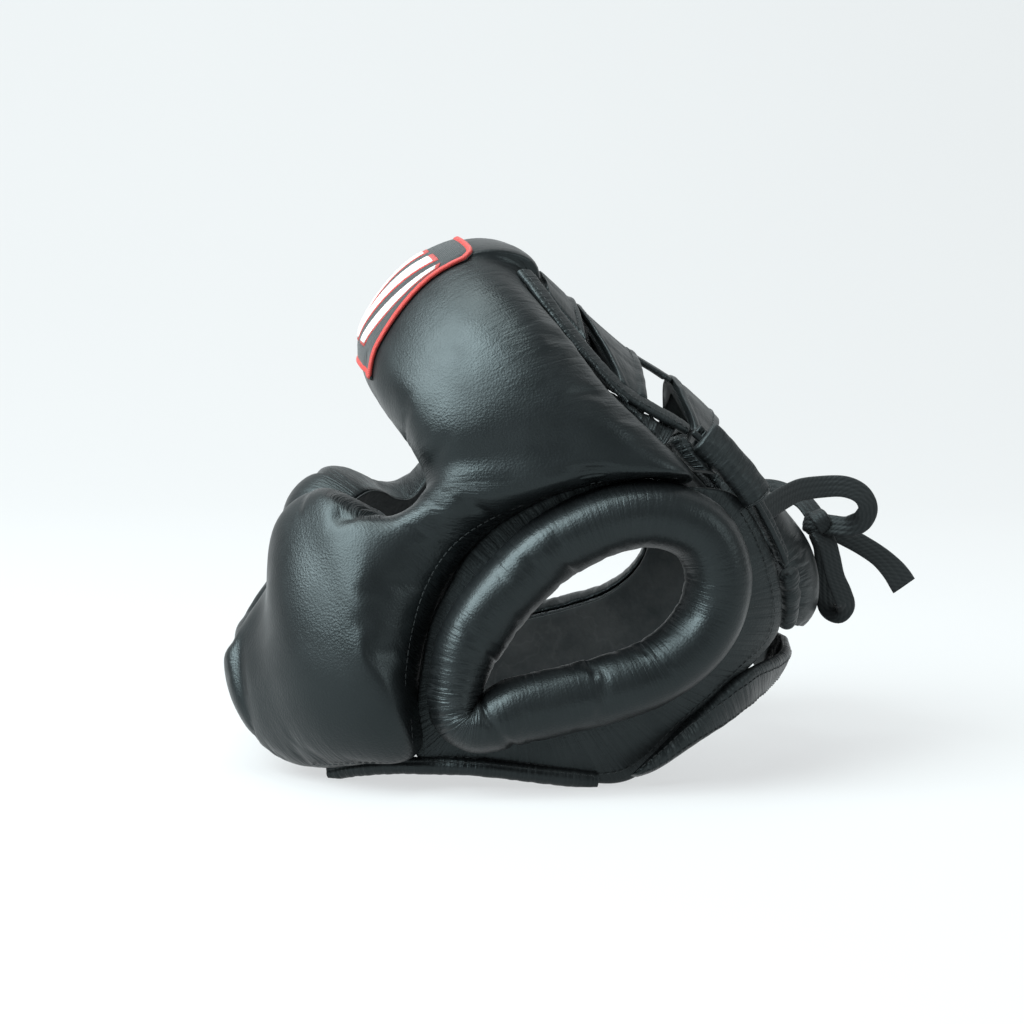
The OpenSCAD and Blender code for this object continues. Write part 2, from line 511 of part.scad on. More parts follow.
worn_to_standing() face_cover();
worn_to_standing() face_lining();
worn_to_standing() forehead_foam();
worn_to_standing() chin_foam();
worn_to_standing() forehead_patch();
worn_to_standing() crown_front_flap();
worn_to_standing() crown_cross_strap();
worn_to_standing() crown_centre_strap();
worn_to_standing() crown_rear_flap();
worn_to_standing() back_pad_cover();
worn_to_standing() back_pad_foam();
worn_to_standing() back_pad_lining();
worn_to_standing() nape_strap();
worn_to_standing() nape_stub();
worn_to_standing() hook_patch();
worn_to_standing() loop_patch();
worn_to_standing() cheek_foam_left();
worn_to_standing() cheek_foam_right();
worn_to_standing() side_panel();  // side_panel_left
worn_to_standing() right_hand() side_panel();  // side_panel_right
worn_to_standing() side_lining();  // side_lining_left
worn_to_standing() right_hand() side_lining();  // side_lining_right
worn_to_standing() ear_ring_cover();  // ear_ring_cover_left
worn_to_standing() right_hand() ear_ring_cover();  // ear_ring_cover_right
worn_to_standing() ear_ring_foam();  // ear_ring_foam_left
worn_to_standing() right_hand() ear_ring_foam();  // ear_ring_foam_right
worn_to_standing() crown_gusset();  // crown_gusset_left
worn_to_standing() right_hand() crown_gusset();  // crown_gusset_right
worn_to_standing() crown_band();  // crown_band_left
worn_to_standing() right_hand() crown_band();  // crown_band_right
worn_to_standing() side_wedge();  // side_wedge_left
worn_to_standing() right_hand() side_wedge();  // side_wedge_right
worn_to_standing() upper_sleeve();  // upper_sleeve_left
worn_to_standing() right_hand() upper_sleeve();  // upper_sleeve_right
worn_to_standing() rear_roll();  // rear_roll_left
worn_to_standing() right_hand() rear_roll();  // rear_roll_right
worn_to_standing() rear_piping();  // rear_piping_left
worn_to_standing() right_hand() rear_piping();  // rear_piping_right
worn_to_standing() lower_sleeve();  // lower_sleeve_left
worn_to_standing() right_hand() lower_sleeve();  // lower_sleeve_right
jaw_binding();  // jaw_binding_left
right_hand() jaw_binding();  // jaw_binding_right
lace_left();
lace_right();
lace_loop();
lace_tail();
lace_knot();
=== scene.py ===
import json
import math
import bpy
import bmesh
import numpy as np
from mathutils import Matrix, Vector

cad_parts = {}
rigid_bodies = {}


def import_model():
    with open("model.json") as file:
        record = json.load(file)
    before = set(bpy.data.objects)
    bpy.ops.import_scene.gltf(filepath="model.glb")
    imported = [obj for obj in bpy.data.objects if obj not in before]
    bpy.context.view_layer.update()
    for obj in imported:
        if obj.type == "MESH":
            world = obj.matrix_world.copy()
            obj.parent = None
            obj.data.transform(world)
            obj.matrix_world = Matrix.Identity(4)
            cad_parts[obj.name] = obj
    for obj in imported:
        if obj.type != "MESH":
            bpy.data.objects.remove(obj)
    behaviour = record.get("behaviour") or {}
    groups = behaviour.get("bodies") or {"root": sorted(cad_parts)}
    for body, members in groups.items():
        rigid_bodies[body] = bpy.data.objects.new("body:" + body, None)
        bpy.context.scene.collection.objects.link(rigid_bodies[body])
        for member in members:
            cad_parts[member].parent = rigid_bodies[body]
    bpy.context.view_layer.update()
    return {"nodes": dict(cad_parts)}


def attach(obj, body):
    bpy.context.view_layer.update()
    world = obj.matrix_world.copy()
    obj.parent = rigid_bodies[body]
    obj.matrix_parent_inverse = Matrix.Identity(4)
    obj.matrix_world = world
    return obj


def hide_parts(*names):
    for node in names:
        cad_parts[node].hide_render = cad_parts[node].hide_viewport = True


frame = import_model()
ROOT, STRAP = "headgear", "nape_strap"

# ---- Camera, at the photograph's angle ----
LEAN, STAND_X, STAND_Z = math.radians(28), -5.9, 99.0
azimuth, elevation = math.radians(2.5), math.radians(6)
back = Vector((-math.sin(azimuth) * math.cos(elevation), -math.cos(azimuth) * math.cos(elevation),
               math.sin(elevation)))
camera = bpy.data.objects.new("camera", bpy.data.cameras.new("camera"))
bpy.context.scene.collection.objects.link(camera)
camera.location = Vector((STAND_X, 0, STAND_Z)) * 0.001 + back
camera.rotation_mode = "QUATERNION"
camera.rotation_quaternion = (-back).to_track_quat("-Z", "Y")
camera.data.lens = 84.4
camera.data.sensor_width = 36
camera.data.clip_start = 0.05
bpy.context.scene.camera = camera


# ---- Curves and fields on arrays; lengths in millimetres, worn position, until stand() ----
def stand(p):
    """Worn position in millimetres to the row frame in metres: the headgear leans back onto its jaw edges."""
    c, s = math.cos(LEAN), math.sin(LEAN)
    return np.stack([p[..., 0] * c + p[..., 2] * s + STAND_X, p[..., 1],
                     p[..., 2] * c - p[..., 0] * s + STAND_Z], -1) * 0.001


def catmull(a, b, c, d, t):
    return 0.5 * (2 * b + (c - a) * t + (2 * a - 5 * b + 4 * c - d) * t * t
                  + (3 * b - a - 3 * c + d) * t ** 3)


def open_curve(p, n):
    p = np.asarray(p, float)
    last = len(p) - 1
    rows = [catmull(p[max(i - 1, 0)], p[i], p[i + 1], p[min(i + 2, last)], k / n)
            for i in range(last) for k in range(n)]
    return np.array(rows + [p[-1]])


def closed_curve(p, n):
    p = np.asarray(p, float)
    m = len(p)
    return np.array([catmull(p[i - 1], p[i], p[(i + 1) % m], p[(i + 2) % m], k / n)
                     for i in range(m) for k in range(n)])


def smoothstep(x):
    x = np.clip(x, 0, 1)
    return x * x * (3 - 2 * x)


def field(x, y, seed):
    """Smooth noise from 0 to 1 on a lattice of unit cells."""
    table = np.random.RandomState(seed).rand(64, 64)
    i, j = np.floor(x).astype(int), np.floor(y).astype(int)
    u, v = smoothstep(x - i), smoothstep(y - j)
    at = lambda a, b: table[a % 64, b % 64]
    return ((at(i, j) * (1 - u) + at(i + 1, j) * u) * (1 - v)
            + (at(i, j + 1) * (1 - u) + at(i + 1, j + 1) * u) * v)


def creases(along, off, wave, seed):
    """0 on the puffs, 1 in the narrow creases across the seam; along and off are distances in millimetres."""
    n = (0.65 * field(along / wave, off / (5 * wave), seed)
         + 0.35 * field(along / wave * 2.1, off / (3 * wave), seed + 1))
    return (1 - np.abs(2 * n - 1)) ** 4


def along_path(p, closed=False):
    q = np.roll(p, -1, 0) if closed else p[1:]
    steps = np.linalg.norm(q - p[:len(q)], axis=-1)
    return np.concatenate([[0], np.cumsum(steps)])


def near(value, centre, width):
    return np.exp(-((value - centre) / width) ** 2)


def unit(v):
    return v / np.maximum(np.linalg.norm(v, axis=-1, keepdims=True), 1e-12)


# ---- The head space, as in the part's source ----
AXIS_X, HALF_L, HALF_W = 20.0, 86.0, 71.0
LEVELS = np.array([
    [-140, 0.66, 0.86, 0.78, 4.0], [-110, 0.82, 0.92, 0.94, 4.0], [-80, 0.91, 0.98, 1.06, 4.0],
    [-40, 0.97, 1.06, 1.04, 4.0], [0, 0.92, 1.11, 1.00, 3.6], [30, 0.93, 1.08, 0.98, 3.2],
    [52, 0.92, 0.90, 0.92, 3.0], [70, 0.84, 0.58, 0.81, 3.0], [83, 0.70, 0.38, 0.64, 3.0],
    [94, 0.48, 0.25, 0.42, 3.0]])
last_level = len(LEVELS) - 1
SLOPES = np.array([(LEVELS[min(i + 1, last_level)] - LEVELS[max(i - 1, 0)])
                   / (LEVELS[min(i + 1, last_level), 0] - LEVELS[max(i - 1, 0), 0])
                   for i in range(last_level + 1)])


def wall(angle, z):
    angle, z = np.broadcast_arrays(np.asarray(angle, float), np.asarray(z, float))
    i = np.clip(np.searchsorted(LEVELS[:, 0], z, side="right") - 1, 0, last_level - 1)
    a, b = LEVELS[i], LEVELS[i + 1]
    h = (b[..., 0] - a[..., 0])[..., None]
    t = (z[..., None] - a[..., :1]) / h
    s = ((2 * t ** 3 - 3 * t * t + 1) * a + (t ** 3 - 2 * t * t + t) * h * SLOPES[i]
         + (3 * t * t - 2 * t ** 3) * b + (t ** 3 - t * t) * h * SLOPES[i + 1])
    c, q = np.cos(np.radians(angle)), np.sin(np.radians(angle))
    lengthwise = np.where(c > 0, s[..., 1], s[..., 2]) * HALF_L
    n = np.where(c > 0, 2.2, s[..., 4])
    r = (np.abs(c / lengthwise) ** n + np.abs(q / (s[..., 3] * HALF_W)) ** n) ** (-1 / n)
    return np.stack([AXIS_X - r * c, -r * q, z], -1)


def outward(angle, z):
    angle, z = np.asarray(angle, float), np.asarray(z, float)
    return unit(np.cross(wall(angle + 1, z) - wall(angle - 1, z), wall(angle, z + 1) - wall(angle, z - 1)))


def skin(angle, z, t):
    return wall(angle, z) + np.asarray(t, float)[..., None] * outward(angle, z)


def angle_at(x, z):
    x, z = np.broadcast_arrays(np.asarray(x, float), np.asarray(z, float))
    lo, hi = np.zeros(x.shape), np.full(x.shape, 180.0)
    for _ in range(18):
        mid = (lo + hi) / 2
        before = wall(mid, z)[..., 0] < x
        lo, hi = np.where(before, mid, lo), np.where(before, hi, mid)
    return (lo + hi) / 2


def on_side(x, z, t):
    """The left side's wall where it stands at x and z, t outside it."""
    return skin(angle_at(x, z), z, np.broadcast_to(np.asarray(t, float), np.shape(x)))


def out_side(x, z):
    return outward(angle_at(x, z), z)


# ---- Meshes from grids ----
def linked(name, data):
    """A new object in the scene."""
    ob = bpy.data.objects.new(name, data)
    bpy.context.scene.collection.objects.link(ob)
    return ob


def grid_mesh(name, grid, ring, fold):
    """A mesh skinned over rows of closed sections. UVs are lengths in metres along and across it."""
    n, m = grid.shape[:2]
    i, j = [a.ravel() for a in np.meshgrid(np.arange(n if ring else n - 1), np.arange(m), indexing="ij")]
    corner = lambda a, b: (a % n) * m + b % m
    quads = np.stack([corner(i, j), corner(i + 1, j), corner(i + 1, j + 1), corner(i, j + 1)], 1)
    faces = quads.tolist()
    if not ring:
        faces += [list(range(m))[::-1], [(n - 1) * m + k for k in range(m)]]
    me = bpy.data.meshes.new(name)
    me.from_pydata(grid.reshape(-1, 3).tolist(), [], faces)
    u = along_path(grid[:, m // 2], True)
    v = along_path(grid[n // 3], True)
    uv = np.zeros((len(me.loops), 2))
    uv[:len(quads) * 4] = np.stack([
        np.stack([u[i], u[i + 1], u[i + 1], u[i]], 1).ravel(),
        np.stack([v[j], v[j], v[j + 1], v[j + 1]], 1).ravel()], 1)
    me.uv_layers.new(name="UVMap").data.foreach_set("uv", uv.ravel())
    layer = me.attributes.new("fold", "FLOAT", "POINT")
    layer.data.foreach_set("value", np.broadcast_to(fold, (n, m)).astype(np.float32).ravel())
    bm = bmesh.new()
    bm.from_mesh(me)
    bmesh.ops.recalc_face_normals(bm, faces=bm.faces)
    bm.to_mesh(me)
    bm.free()
    me.polygons.foreach_set("use_smooth", [True] * len(me.polygons))
    me.update()
    return linked(name, me)


def normals(grid, loop_u=False):
    du = (np.roll(grid, -1, 0) - np.roll(grid, 1, 0)) if loop_u else np.gradient(grid, axis=0)
    return unit(np.cross(du, np.gradient(grid, axis=1)))


def mirrored(grid):
    return grid * np.array([1, -1, 1])


def sweep(path, up, section, closed=False):
    """Rows of a section [(across, up), ...] carried along a path; up is the section's second axis."""
    d = (np.roll(path, -1, 0) - np.roll(path, 1, 0)) if closed else np.gradient(path, axis=0)
    d = unit(d)
    up = unit(up - np.sum(up * d, -1, keepdims=True) * d)
    across = np.cross(d, up)
    section = np.asarray(section, float)
    if section.ndim == 2:
        section = np.broadcast_to(section, (len(path),) + section.shape)
    return path[:, None] + across[:, None] * section[..., :1] + up[:, None] * section[..., 1:]


def oval(w, h, k=16, power=2.0):
    a = 2 * np.pi * (np.arange(k) + 0.5) / k
    c, s = np.cos(a), np.sin(a)
    r = (np.abs(c) ** power + np.abs(s) ** power) ** (-1 / power)
    return np.stack([c * r * w / 2, s * r * h / 2], 1)


def place(ob, body, look, *nodes):
    """Give an object the material of its look (slot, material), its body, and hide the CAD nodes it takes the
    place of.
    """
    slot, material = look
    ob.data.materials.clear()
    ob.data.materials.append(material)
    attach(ob, body)
    if nodes:
        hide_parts(*nodes)
    return ob


def piece(name, rows, look, *nodes, body=ROOT, ring=False, fold=0.0, smooth=True, full=None):
    """One piece skinned over rows of closed sections, in metres.

    ring joins the last row to the first; without it both ends are capped. fold is how creased the
    leather is, one value or one for each point. full, meant as how tightly a piece is stuffed from 0 to 1, is
    not used.
    """
    ob = grid_mesh(name, rows, ring, fold)
    if smooth:
        mod = ob.modifiers.new("smooth", "SUBSURF")
        mod.levels = mod.render_levels = 1
    place(ob, body, look, *nodes)
    return ob


# ---- Materials: every look is made of shader nodes ----
class Look:
    """A material under construction. node() adds a node and sets or links its inputs."""

    def __init__(self, name, roughness, sheen=0.0, ior=1.5):
        self.material = bpy.data.materials.new(name)
        self.material.use_nodes = True
        self.tree = self.material.node_tree
        self.shader = self.tree.nodes["Principled BSDF"]
        for socket, value in (("Roughness", roughness), ("Sheen Weight", sheen), ("IOR", ior)):
            self.shader.inputs[socket].default_value = value
        self.shader.inputs["Specular Tint"].default_value = (0.80, 0.97, 1.0, 1.0)
        self.normal = None
        coords = self.tree.nodes.new("ShaderNodeTexCoord")
        self.place, self.uv = coords.outputs["Object"], coords.outputs["UV"]

    def node(self, kind, settings=None, **inputs):
        made_node = self.tree.nodes.new("ShaderNode" + kind)
        for key, value in (settings or {}).items():
            setattr(made_node, key, value)
        for key, value in inputs.items():
            numbered = key[0] == "i" and key[1:].isdigit()
            socket = made_node.inputs[int(key[1:]) if numbered else key.replace("_", " ")]
            if isinstance(value, bpy.types.NodeSocket):
                self.tree.links.new(value, socket)
            else:
                socket.default_value = value
        return made_node

    def noise(self, scale, detail=3.0, at=None, rough=0.5):
        return self.node("TexNoise", Vector=at or self.place, Scale=scale, Detail=detail,
                         Roughness=rough).outputs[0]

    def cells(self, scale):
        return self.node("TexVoronoi", {"feature": "F1"}, Vector=self.place, Scale=scale).outputs["Distance"]

    def maths(self, how, a, b=0.0):
        return self.node("Math", {"operation": how}, i0=a, i1=b).outputs[0]

    def span(self, value, low, high, a=0.0, b=1.0):
        return self.node("MapRange", Value=value, From_Min=low, From_Max=high, To_Min=a, To_Max=b).outputs[0]

    def blend(self, share, a, b):
        colour = lambda c: (*c, 1.0) if isinstance(c, tuple) and len(c) == 3 else c
        return self.node("Mix", {"data_type": "RGBA"}, i0=share, i6=colour(a), i7=colour(b)).outputs[2]

    def stretched(self, along, across):
        return self.node("Mapping", i0=self.uv, i3=(along, across, 1.0)).outputs[0]

    def bump(self, height, distance, strength=1.0):
        extra = {"Normal": self.normal} if self.normal else {}
        self.normal = self.node("Bump", Height=height, Distance=distance, Strength=strength,
                                **extra).outputs[0]

    def done(self, colour, roughness=None):
        link = self.tree.links.new
        link(colour, self.shader.inputs["Base Color"])
        if roughness:
            link(roughness, self.shader.inputs["Roughness"])
        if self.normal:
            link(self.normal, self.shader.inputs["Normal"])
        return self.material


def leather(name, dark, light, rough, cell, grain, folds=1.0):
    """Black leather with a pebbled grain, its cell size and depth in millimetres, creased by fold."""
    k = Look(name, rough, ior=1.42)
    fold = k.node("Attribute", {"attribute_name": "fold"}).outputs["Fac"]
    lines = k.maths("ABSOLUTE", k.maths("SUBTRACT", k.noise(1.0, 2.5, k.stretched(330, 34)), 0.5))
    lines = k.span(lines, 0.0, 0.13, 1.0, 0.0)
    k.bump(k.maths("MULTIPLY", lines, k.maths("MULTIPLY", fold, -1.0)), 0.0003 * folds)
    k.bump(k.noise(30.0, 1.0), 0.0009, 0.3)
    fine_lines = k.maths("ABSOLUTE", k.maths("SUBTRACT", k.noise(105.0, 4.0, rough=0.6), 0.5))
    k.bump(k.span(fine_lines, 0.0, 0.08), 0.00005, 0.22)
    k.bump(k.cells(1000.0 / cell), grain * cell * 0.001, 0.65)
    tone = k.span(k.noise(24.0, 5.0), 0.35, 0.7)
    worn = k.maths("MULTIPLY", k.span(lines, 0.55, 1.0), k.maths("MULTIPLY", fold, 0.35))
    colour = k.blend(worn, k.blend(tone, dark, light), (0.028, 0.031, 0.032))
    return k.done(colour, k.span(k.noise(60.0, 4.0), 0.3, 0.7, rough - 0.06, rough + 0.08))


def suede():
    k = Look("suede", 0.9, sheen=0.12)
    k.bump(k.noise(420.0, 4.0), 0.0007, 0.6)
    k.bump(k.noise(60.0, 3.0), 0.0016, 0.5)
    scuffs = k.maths("ABSOLUTE", k.maths("SUBTRACT", k.noise(26.0, 5.0), 0.5))
    tone = k.blend(k.span(k.noise(45.0, 5.0, rough=0.65), 0.34, 0.68), (0.010, 0.0105, 0.011),
                   (0.034, 0.034, 0.034))
    return k.done(k.blend(k.span(scuffs, 0.0, 0.012, 0.10, 0.0), tone, (0.10, 0.098, 0.095)))


def foam_look():
    k = Look("cut_foam", 0.95)
    k.bump(k.cells(900.0), 0.0006)
    return k.done(k.blend(k.noise(300.0, 2.0), (0.14, 0.15, 0.155), (0.22, 0.23, 0.235)))


def lace_look():
    k = Look("braided_lace", 0.6, sheen=0.05, ior=1.4)
    weave = k.node("TexWave", {"bands_direction": "DIAGONAL"}, Vector=k.stretched(900, 900), Scale=0.35,
                   Distortion=0.6).outputs["Fac"]
    k.bump(weave, 0.00012, 0.6)
    k.bump(k.noise(1500.0, 2.0), 0.0002, 0.5)
    return k.done(k.blend(weave, (0.005, 0.005, 0.0055), (0.011, 0.0115, 0.012)))


def woven(name, dark, light):
    k = Look(name, 0.75, sheen=0.2)
    warp = k.node("TexWave", {"bands_direction": "X"}, Vector=k.uv, Scale=450.0).outputs["Fac"]
    weft = k.node("TexWave", {"bands_direction": "Y"}, Vector=k.uv, Scale=450.0).outputs["Fac"]
    cloth = k.maths("MULTIPLY", warp, weft)
    k.bump(cloth, 0.0003, 0.8)
    return k.done(k.blend(k.span(k.maths("ADD", cloth, k.noise(200.0, 3.0)), 0.3, 1.3), dark, light))


def thread(name, dark, light):
    k = Look(name, 0.55, sheen=0.1)
    twist = k.node("TexWave", {"bands_direction": "DIAGONAL"}, Vector=k.place, Scale=900.0).outputs["Fac"]
    k.bump(twist, 0.0002, 0.8)
    return k.done(k.blend(twist, dark, light))


def tape(name, scale, deep):
    k = Look(name, 0.85, sheen=0.4)
    tufts = k.cells(scale)
    k.bump(tufts, deep)
    return k.done(k.blend(k.span(tufts, 0.1, 0.8), (0.012, 0.012, 0.013), (0.045, 0.045, 0.046)))


SATIN = ("satin_leather",
         leather("satin_leather", (0.0035, 0.0042, 0.0046), (0.0065, 0.0075, 0.008), 0.38, 0.9, 0.11))
PLAIN = ("satin_leather",
         leather("plain_leather", (0.0045, 0.0052, 0.0056), (0.010, 0.0115, 0.012), 0.45, 1.0, 0.14))
COARSE = ("grained_leather",
          leather("coarse_leather", (0.006, 0.007, 0.0075), (0.015, 0.0165, 0.017), 0.5, 1.9, 0.26, 1.6))
EDGING = ("edge_binding",
          leather("edging_leather", (0.004, 0.0046, 0.005), (0.009, 0.010, 0.0105), 0.44, 0.7, 0.13))
SUEDE, FOAM, LACE = ("suede_lining", suede()), ("foam", foam_look()), ("braided_lace", lace_look())
CLOTH_BLACK = ("woven_patch", woven("woven_black", (0.006, 0.006, 0.006), (0.022, 0.022, 0.023)))
CLOTH_WHITE = ("woven_patch", woven("woven_white", (0.55, 0.55, 0.53), (0.82, 0.82, 0.8)))
CLOTH_RED = ("woven_patch", thread("red_stitching", (0.30, 0.015, 0.012), (0.62, 0.05, 0.035)))
THREAD = ("satin_leather", thread("dark_thread", (0.006, 0.0065, 0.007), (0.022, 0.024, 0.024)))
EDGE_THREAD = ("edge_binding", THREAD[1])
LOOPS, HOOKS = tape("loop_tape", 1400.0, 0.0007), tape("hook_tape", 1000.0, 0.0009)


# ---- Cloth: leather sheets blown up over their filling, edges held ----
BLOW_FRAMES = 18
BLOW_SCALE = 0.01      # millimetres to ten times life size, where cloth settings behave as for clothes


def inflate(grid, out, pins, loop_u, pressure, grow, limit):
    """The grid, in millimetres, after a short cloth simulation. pins holds each column, 0 to 1."""
    n, m = grid.shape[:2]
    rows = n if loop_u else n - 1
    i, j = [a.ravel() for a in np.meshgrid(np.arange(rows), np.arange(m - 1), indexing="ij")]
    quads = np.stack([i * m + j, (i + 1) % n * m + j, (i + 1) % n * m + j + 1, i * m + j + 1], 1)
    flat = grid.reshape(-1, 3)
    face = np.cross(flat[quads[:, 1]] - flat[quads[:, 0]], flat[quads[:, 3]] - flat[quads[:, 0]])
    if np.sum(face * out.reshape(-1, 3)[quads[:, 0]]) < 0:
        quads = quads[:, ::-1]
    me = bpy.data.meshes.new("blown")
    me.from_pydata((flat * BLOW_SCALE).tolist(), [], quads.tolist())
    ob = linked("blown", me)
    held = ob.vertex_groups.new(name="held")
    for column, weight in enumerate(pins):
        if weight > 0:
            held.add([row * m + column for row in range(n)], float(weight), "REPLACE")
    if not loop_u:
        held.add([k for k in range(m)] + [(n - 1) * m + k for k in range(m)], 1.0, "REPLACE")
    mod = ob.modifiers.new("cloth", "CLOTH")
    s = mod.settings
    s.quality, s.mass, s.air_damping = 6, 0.25, 2.0
    s.tension_stiffness, s.compression_stiffness, s.shear_stiffness, s.bending_stiffness = 22, 12, 6, 0.5
    s.use_pressure, s.uniform_pressure_force = True, pressure
    s.shrink_min, s.shrink_max = -grow, -grow
    s.vertex_group_mass, s.pin_stiffness = "held", 1.0
    s.effector_weights.gravity = 0
    mod.collision_settings.use_collision = False
    mod.collision_settings.use_self_collision = False
    mod.point_cache.frame_start, mod.point_cache.frame_end = 1, BLOW_FRAMES
    for frame_no in range(1, BLOW_FRAMES + 1):
        bpy.context.scene.frame_set(frame_no)
    done = ob.evaluated_get(bpy.context.evaluated_depsgraph_get()).to_mesh()
    co = np.empty(len(done.vertices) * 3, np.float32)
    done.vertices.foreach_get("co", co)
    move = co.reshape(-1, 3).astype(float) / BLOW_SCALE - flat
    size = np.linalg.norm(move, axis=1, keepdims=True)
    move *= limit * np.tanh(size / limit) / np.maximum(size, 1e-9)
    bpy.data.objects.remove(ob)
    bpy.context.scene.frame_set(1)
    return grid + move.reshape(grid.shape)


# ---- Stitches: short raised threads along a line ----
STITCH_STEP, STITCH_LONG, STITCH_THICK = 2.9, 2.2, 0.42


def stitches(name, lines, ups, body, look=THREAD):
    """lines are rows of points in millimetres in the row frame, ups the outward directions along them."""
    points, faces = [], []
    for line, up in zip(lines, ups):
        d = along_path(line)
        for c in range(int(d[-1] // STITCH_STEP)):
            a, b = (c + 0.5) * STITCH_STEP - STITCH_LONG / 2, (c + 0.5) * STITCH_STEP + STITCH_LONG / 2
            at = np.array([[np.interp(t, d, line[:, k]) for k in range(3)] for t in (a, (a + b) / 2, b)])
            u = unit(np.array([np.interp((a + b) / 2, d, up[:, k]) for k in range(3)]))
            along = unit(at[2] - at[0])
            across = np.cross(along, u)
            first = len(points)
            for share, r in ((0, 0.35), (0.12, 0.9), (0.5, 1.1), (0.88, 0.9), (1, 0.35)):
                centre = at[0] + (at[2] - at[0]) * share + u * (0.18 * math.sin(math.pi * share) - 0.05)
                for q in range(6):
                    w = math.pi * q / 3
                    around = across * math.cos(w) + u * math.sin(w) * 0.8
                    points.append((centre + around * STITCH_THICK / 2 * r) * 0.001)
            for r in range(4):
                for q in range(6):
                    a0, a1 = first + r * 6 + q, first + r * 6 + (q + 1) % 6
                    faces.append((a0, a1, a1 + 6, a0 + 6))
            faces.append(tuple(range(first + 5, first - 1, -1)))
            faces.append(tuple(range(first + 24, first + 30)))
    me = bpy.data.meshes.new(name)
    me.from_pydata([tuple(p) for p in points], [], faces)
    me.polygons.foreach_set("use_smooth", [True] * len(me.polygons))
    me.update()
    return place(linked(name, me), body, look)


def stood(p):
    return stand(p) * 1000


def turned(v):
    """A direction of the worn position, in the row frame."""
    c, s = math.cos(LEAN), math.sin(LEAN)
    return np.stack([v[..., 0] * c + v[..., 2] * s, v[..., 1], v[..., 2] * c - v[..., 0] * s], -1)


# ---- Laces and their knot, in the row frame ----
LACE_LEFT = [
    [94.5, -38, 103], [101.5, -30, 106.5], [110.5, -21, 109.5], [120.5, -16, 110.5], [130.5, -15, 110.5],
    [137.5, -15, 107.5], [140.5, -15, 102], [138.5, -14, 96.5], [133.5, -11, 93.5], [127.5, -7, 93.5],
    [122.5, -4, 94]]
LACE_RIGHT = [[87, 50, 105], [95, 40, 106.5], [102.5, 31, 106], [110.5, 20, 105.5], [117.5, 8, 102],
              [121.5, 1, 96.5]]
LACE_DOWN = [
    [122.5, -5, 91], [125, -8, 86], [126.5, -9, 80], [128.5, -9, 72], [131.5, -9, 65], [133, -8, 60],
    [130.5, -5, 56.5], [127, -1, 58], [126.5, 3, 65], [126.5, 5, 74], [125.5, 5, 83], [122.5, 3, 90]]
LACE_TAIL = [
    [122.5, -1, 93], [127.5, 0, 91.5], [133.5, 0, 88.5], [141, -1, 84.5], [148.5, -2, 79.5],
    [154.5, -3, 73.5], [158.5, -4, 67.5]]
LACE_W, LACE_T = 9.4, 2.0


def lace_section():
    """A flat braid with four rounded ridges along each face."""
    u = np.linspace(-1, 1, 25)
    half = np.sqrt(np.maximum(0, 1 - np.abs(u) ** 3.2)) * (0.80 + 0.20 * np.abs(np.sin(np.pi * 2 * (u + 1))))
    top = np.stack([u * LACE_W / 2, half * LACE_T / 2], 1)
    return np.concatenate([top, top[-2:0:-1] * [1, -1]])


def lace(name, route, nodes, flare=0.0):
    """One run of lace along a route, with a cut end that spreads by flare."""
    path = open_curve(route, 10)
    n = len(path)
    share = np.arange(n) / (n - 1)
    facing = np.broadcast_to(np.array([0.3, -1.0, 0.3]), path.shape).copy()
    d = along_path(path)
    grow = 1 - 0.05 * field(d / 7, d * 0, 61)
    grow = grow * (1 + flare * smoothstep((share - 0.86) / 0.14))
    section = lace_section()[None] * np.stack(
        [grow, 1 - 0.25 * flare * smoothstep((share - 0.8) / 0.2)], 1)[:, None]
    grid = sweep(path, facing, section)
    ob = piece(name, grid * 0.001, LACE, *nodes, smooth=False)


lace("lace_left_braid", LACE_LEFT, ["lace_left"])
lace("lace_right_braid", LACE_RIGHT, ["lace_right"])
lace("lace_end_braid", LACE_DOWN + LACE_TAIL, ["lace_loop", "lace_tail"], flare=0.35)


def knot_wrap(centre, axis, side, radius, width, seed):
    """One flat turn of lace round the knot, as a closed band."""
    a = np.linspace(0, 2 * np.pi, 49)[:-1]
    axis = unit(np.array(axis, float))
    side = unit(np.array(side, float) - np.dot(side, axis) * axis)
    third = np.cross(axis, side)
    wobble = 1 + 0.05 * np.sin(2 * a + seed)
    path = centre + (side * (np.cos(a) * wobble)[:, None]
                     + third * (np.sin(a) * wobble * 0.9)[:, None]) * radius
    out = unit(path - centre)
    section = lace_section()[None] * np.stack(
        [width / LACE_W * (1 - 0.12 * np.cos(a + seed)), 0.95 + 0 * a], 1)[:, None]
    return sweep(path, out, section, closed=True)


KNOT = np.array([122.0, -1.5, 93.5])
wraps = [knot_wrap(KNOT + np.array(off), ax, sd, r, w, k) for k, (off, ax, sd, r, w) in enumerate([
    ((0, 0.5, 0), (0.25, 0.2, 1), (1, 0, 0), 5.1, 7.5),
    ((0.6, -1.0, 0.6), (1, 0.15, 0.45), (0, 1, 0), 5.3, 6.5),
    ((-0.4, -0.6, 0), (0.5, 1, -0.5), (1, 0, 0), 4.7, 6.0)])]
piece("knot_first_turn", wraps[0] * 0.001, LACE, "lace_knot", ring=True, smooth=False)
for index, wrap_grid in enumerate(wraps[1:]):
    piece("knot_turn_%d" % (index + 2), wrap_grid * 0.001, LACE, ring=True, smooth=False)
angles = np.linspace(0, np.pi, 13)[1:-1]
spin = np.arange(16) * np.pi / 8
core = KNOT + 4.6 * np.stack([np.cos(angles)[:, None] * np.ones(16), np.sin(angles)[:, None] * np.cos(spin),
                              np.sin(angles)[:, None] * np.sin(spin)], -1)
piece("knot_core", core * 0.001, LACE, smooth=False)


# ---- Face pad ----
LINING, GAP, LEATHER = 1.2, 0.12, 1.6
PAD_FLOOR = LINING + GAP
PANEL_TOP = PAD_FLOOR + 3.6


def seat(x, z):
    return [float(angle_at(x, z)), z]


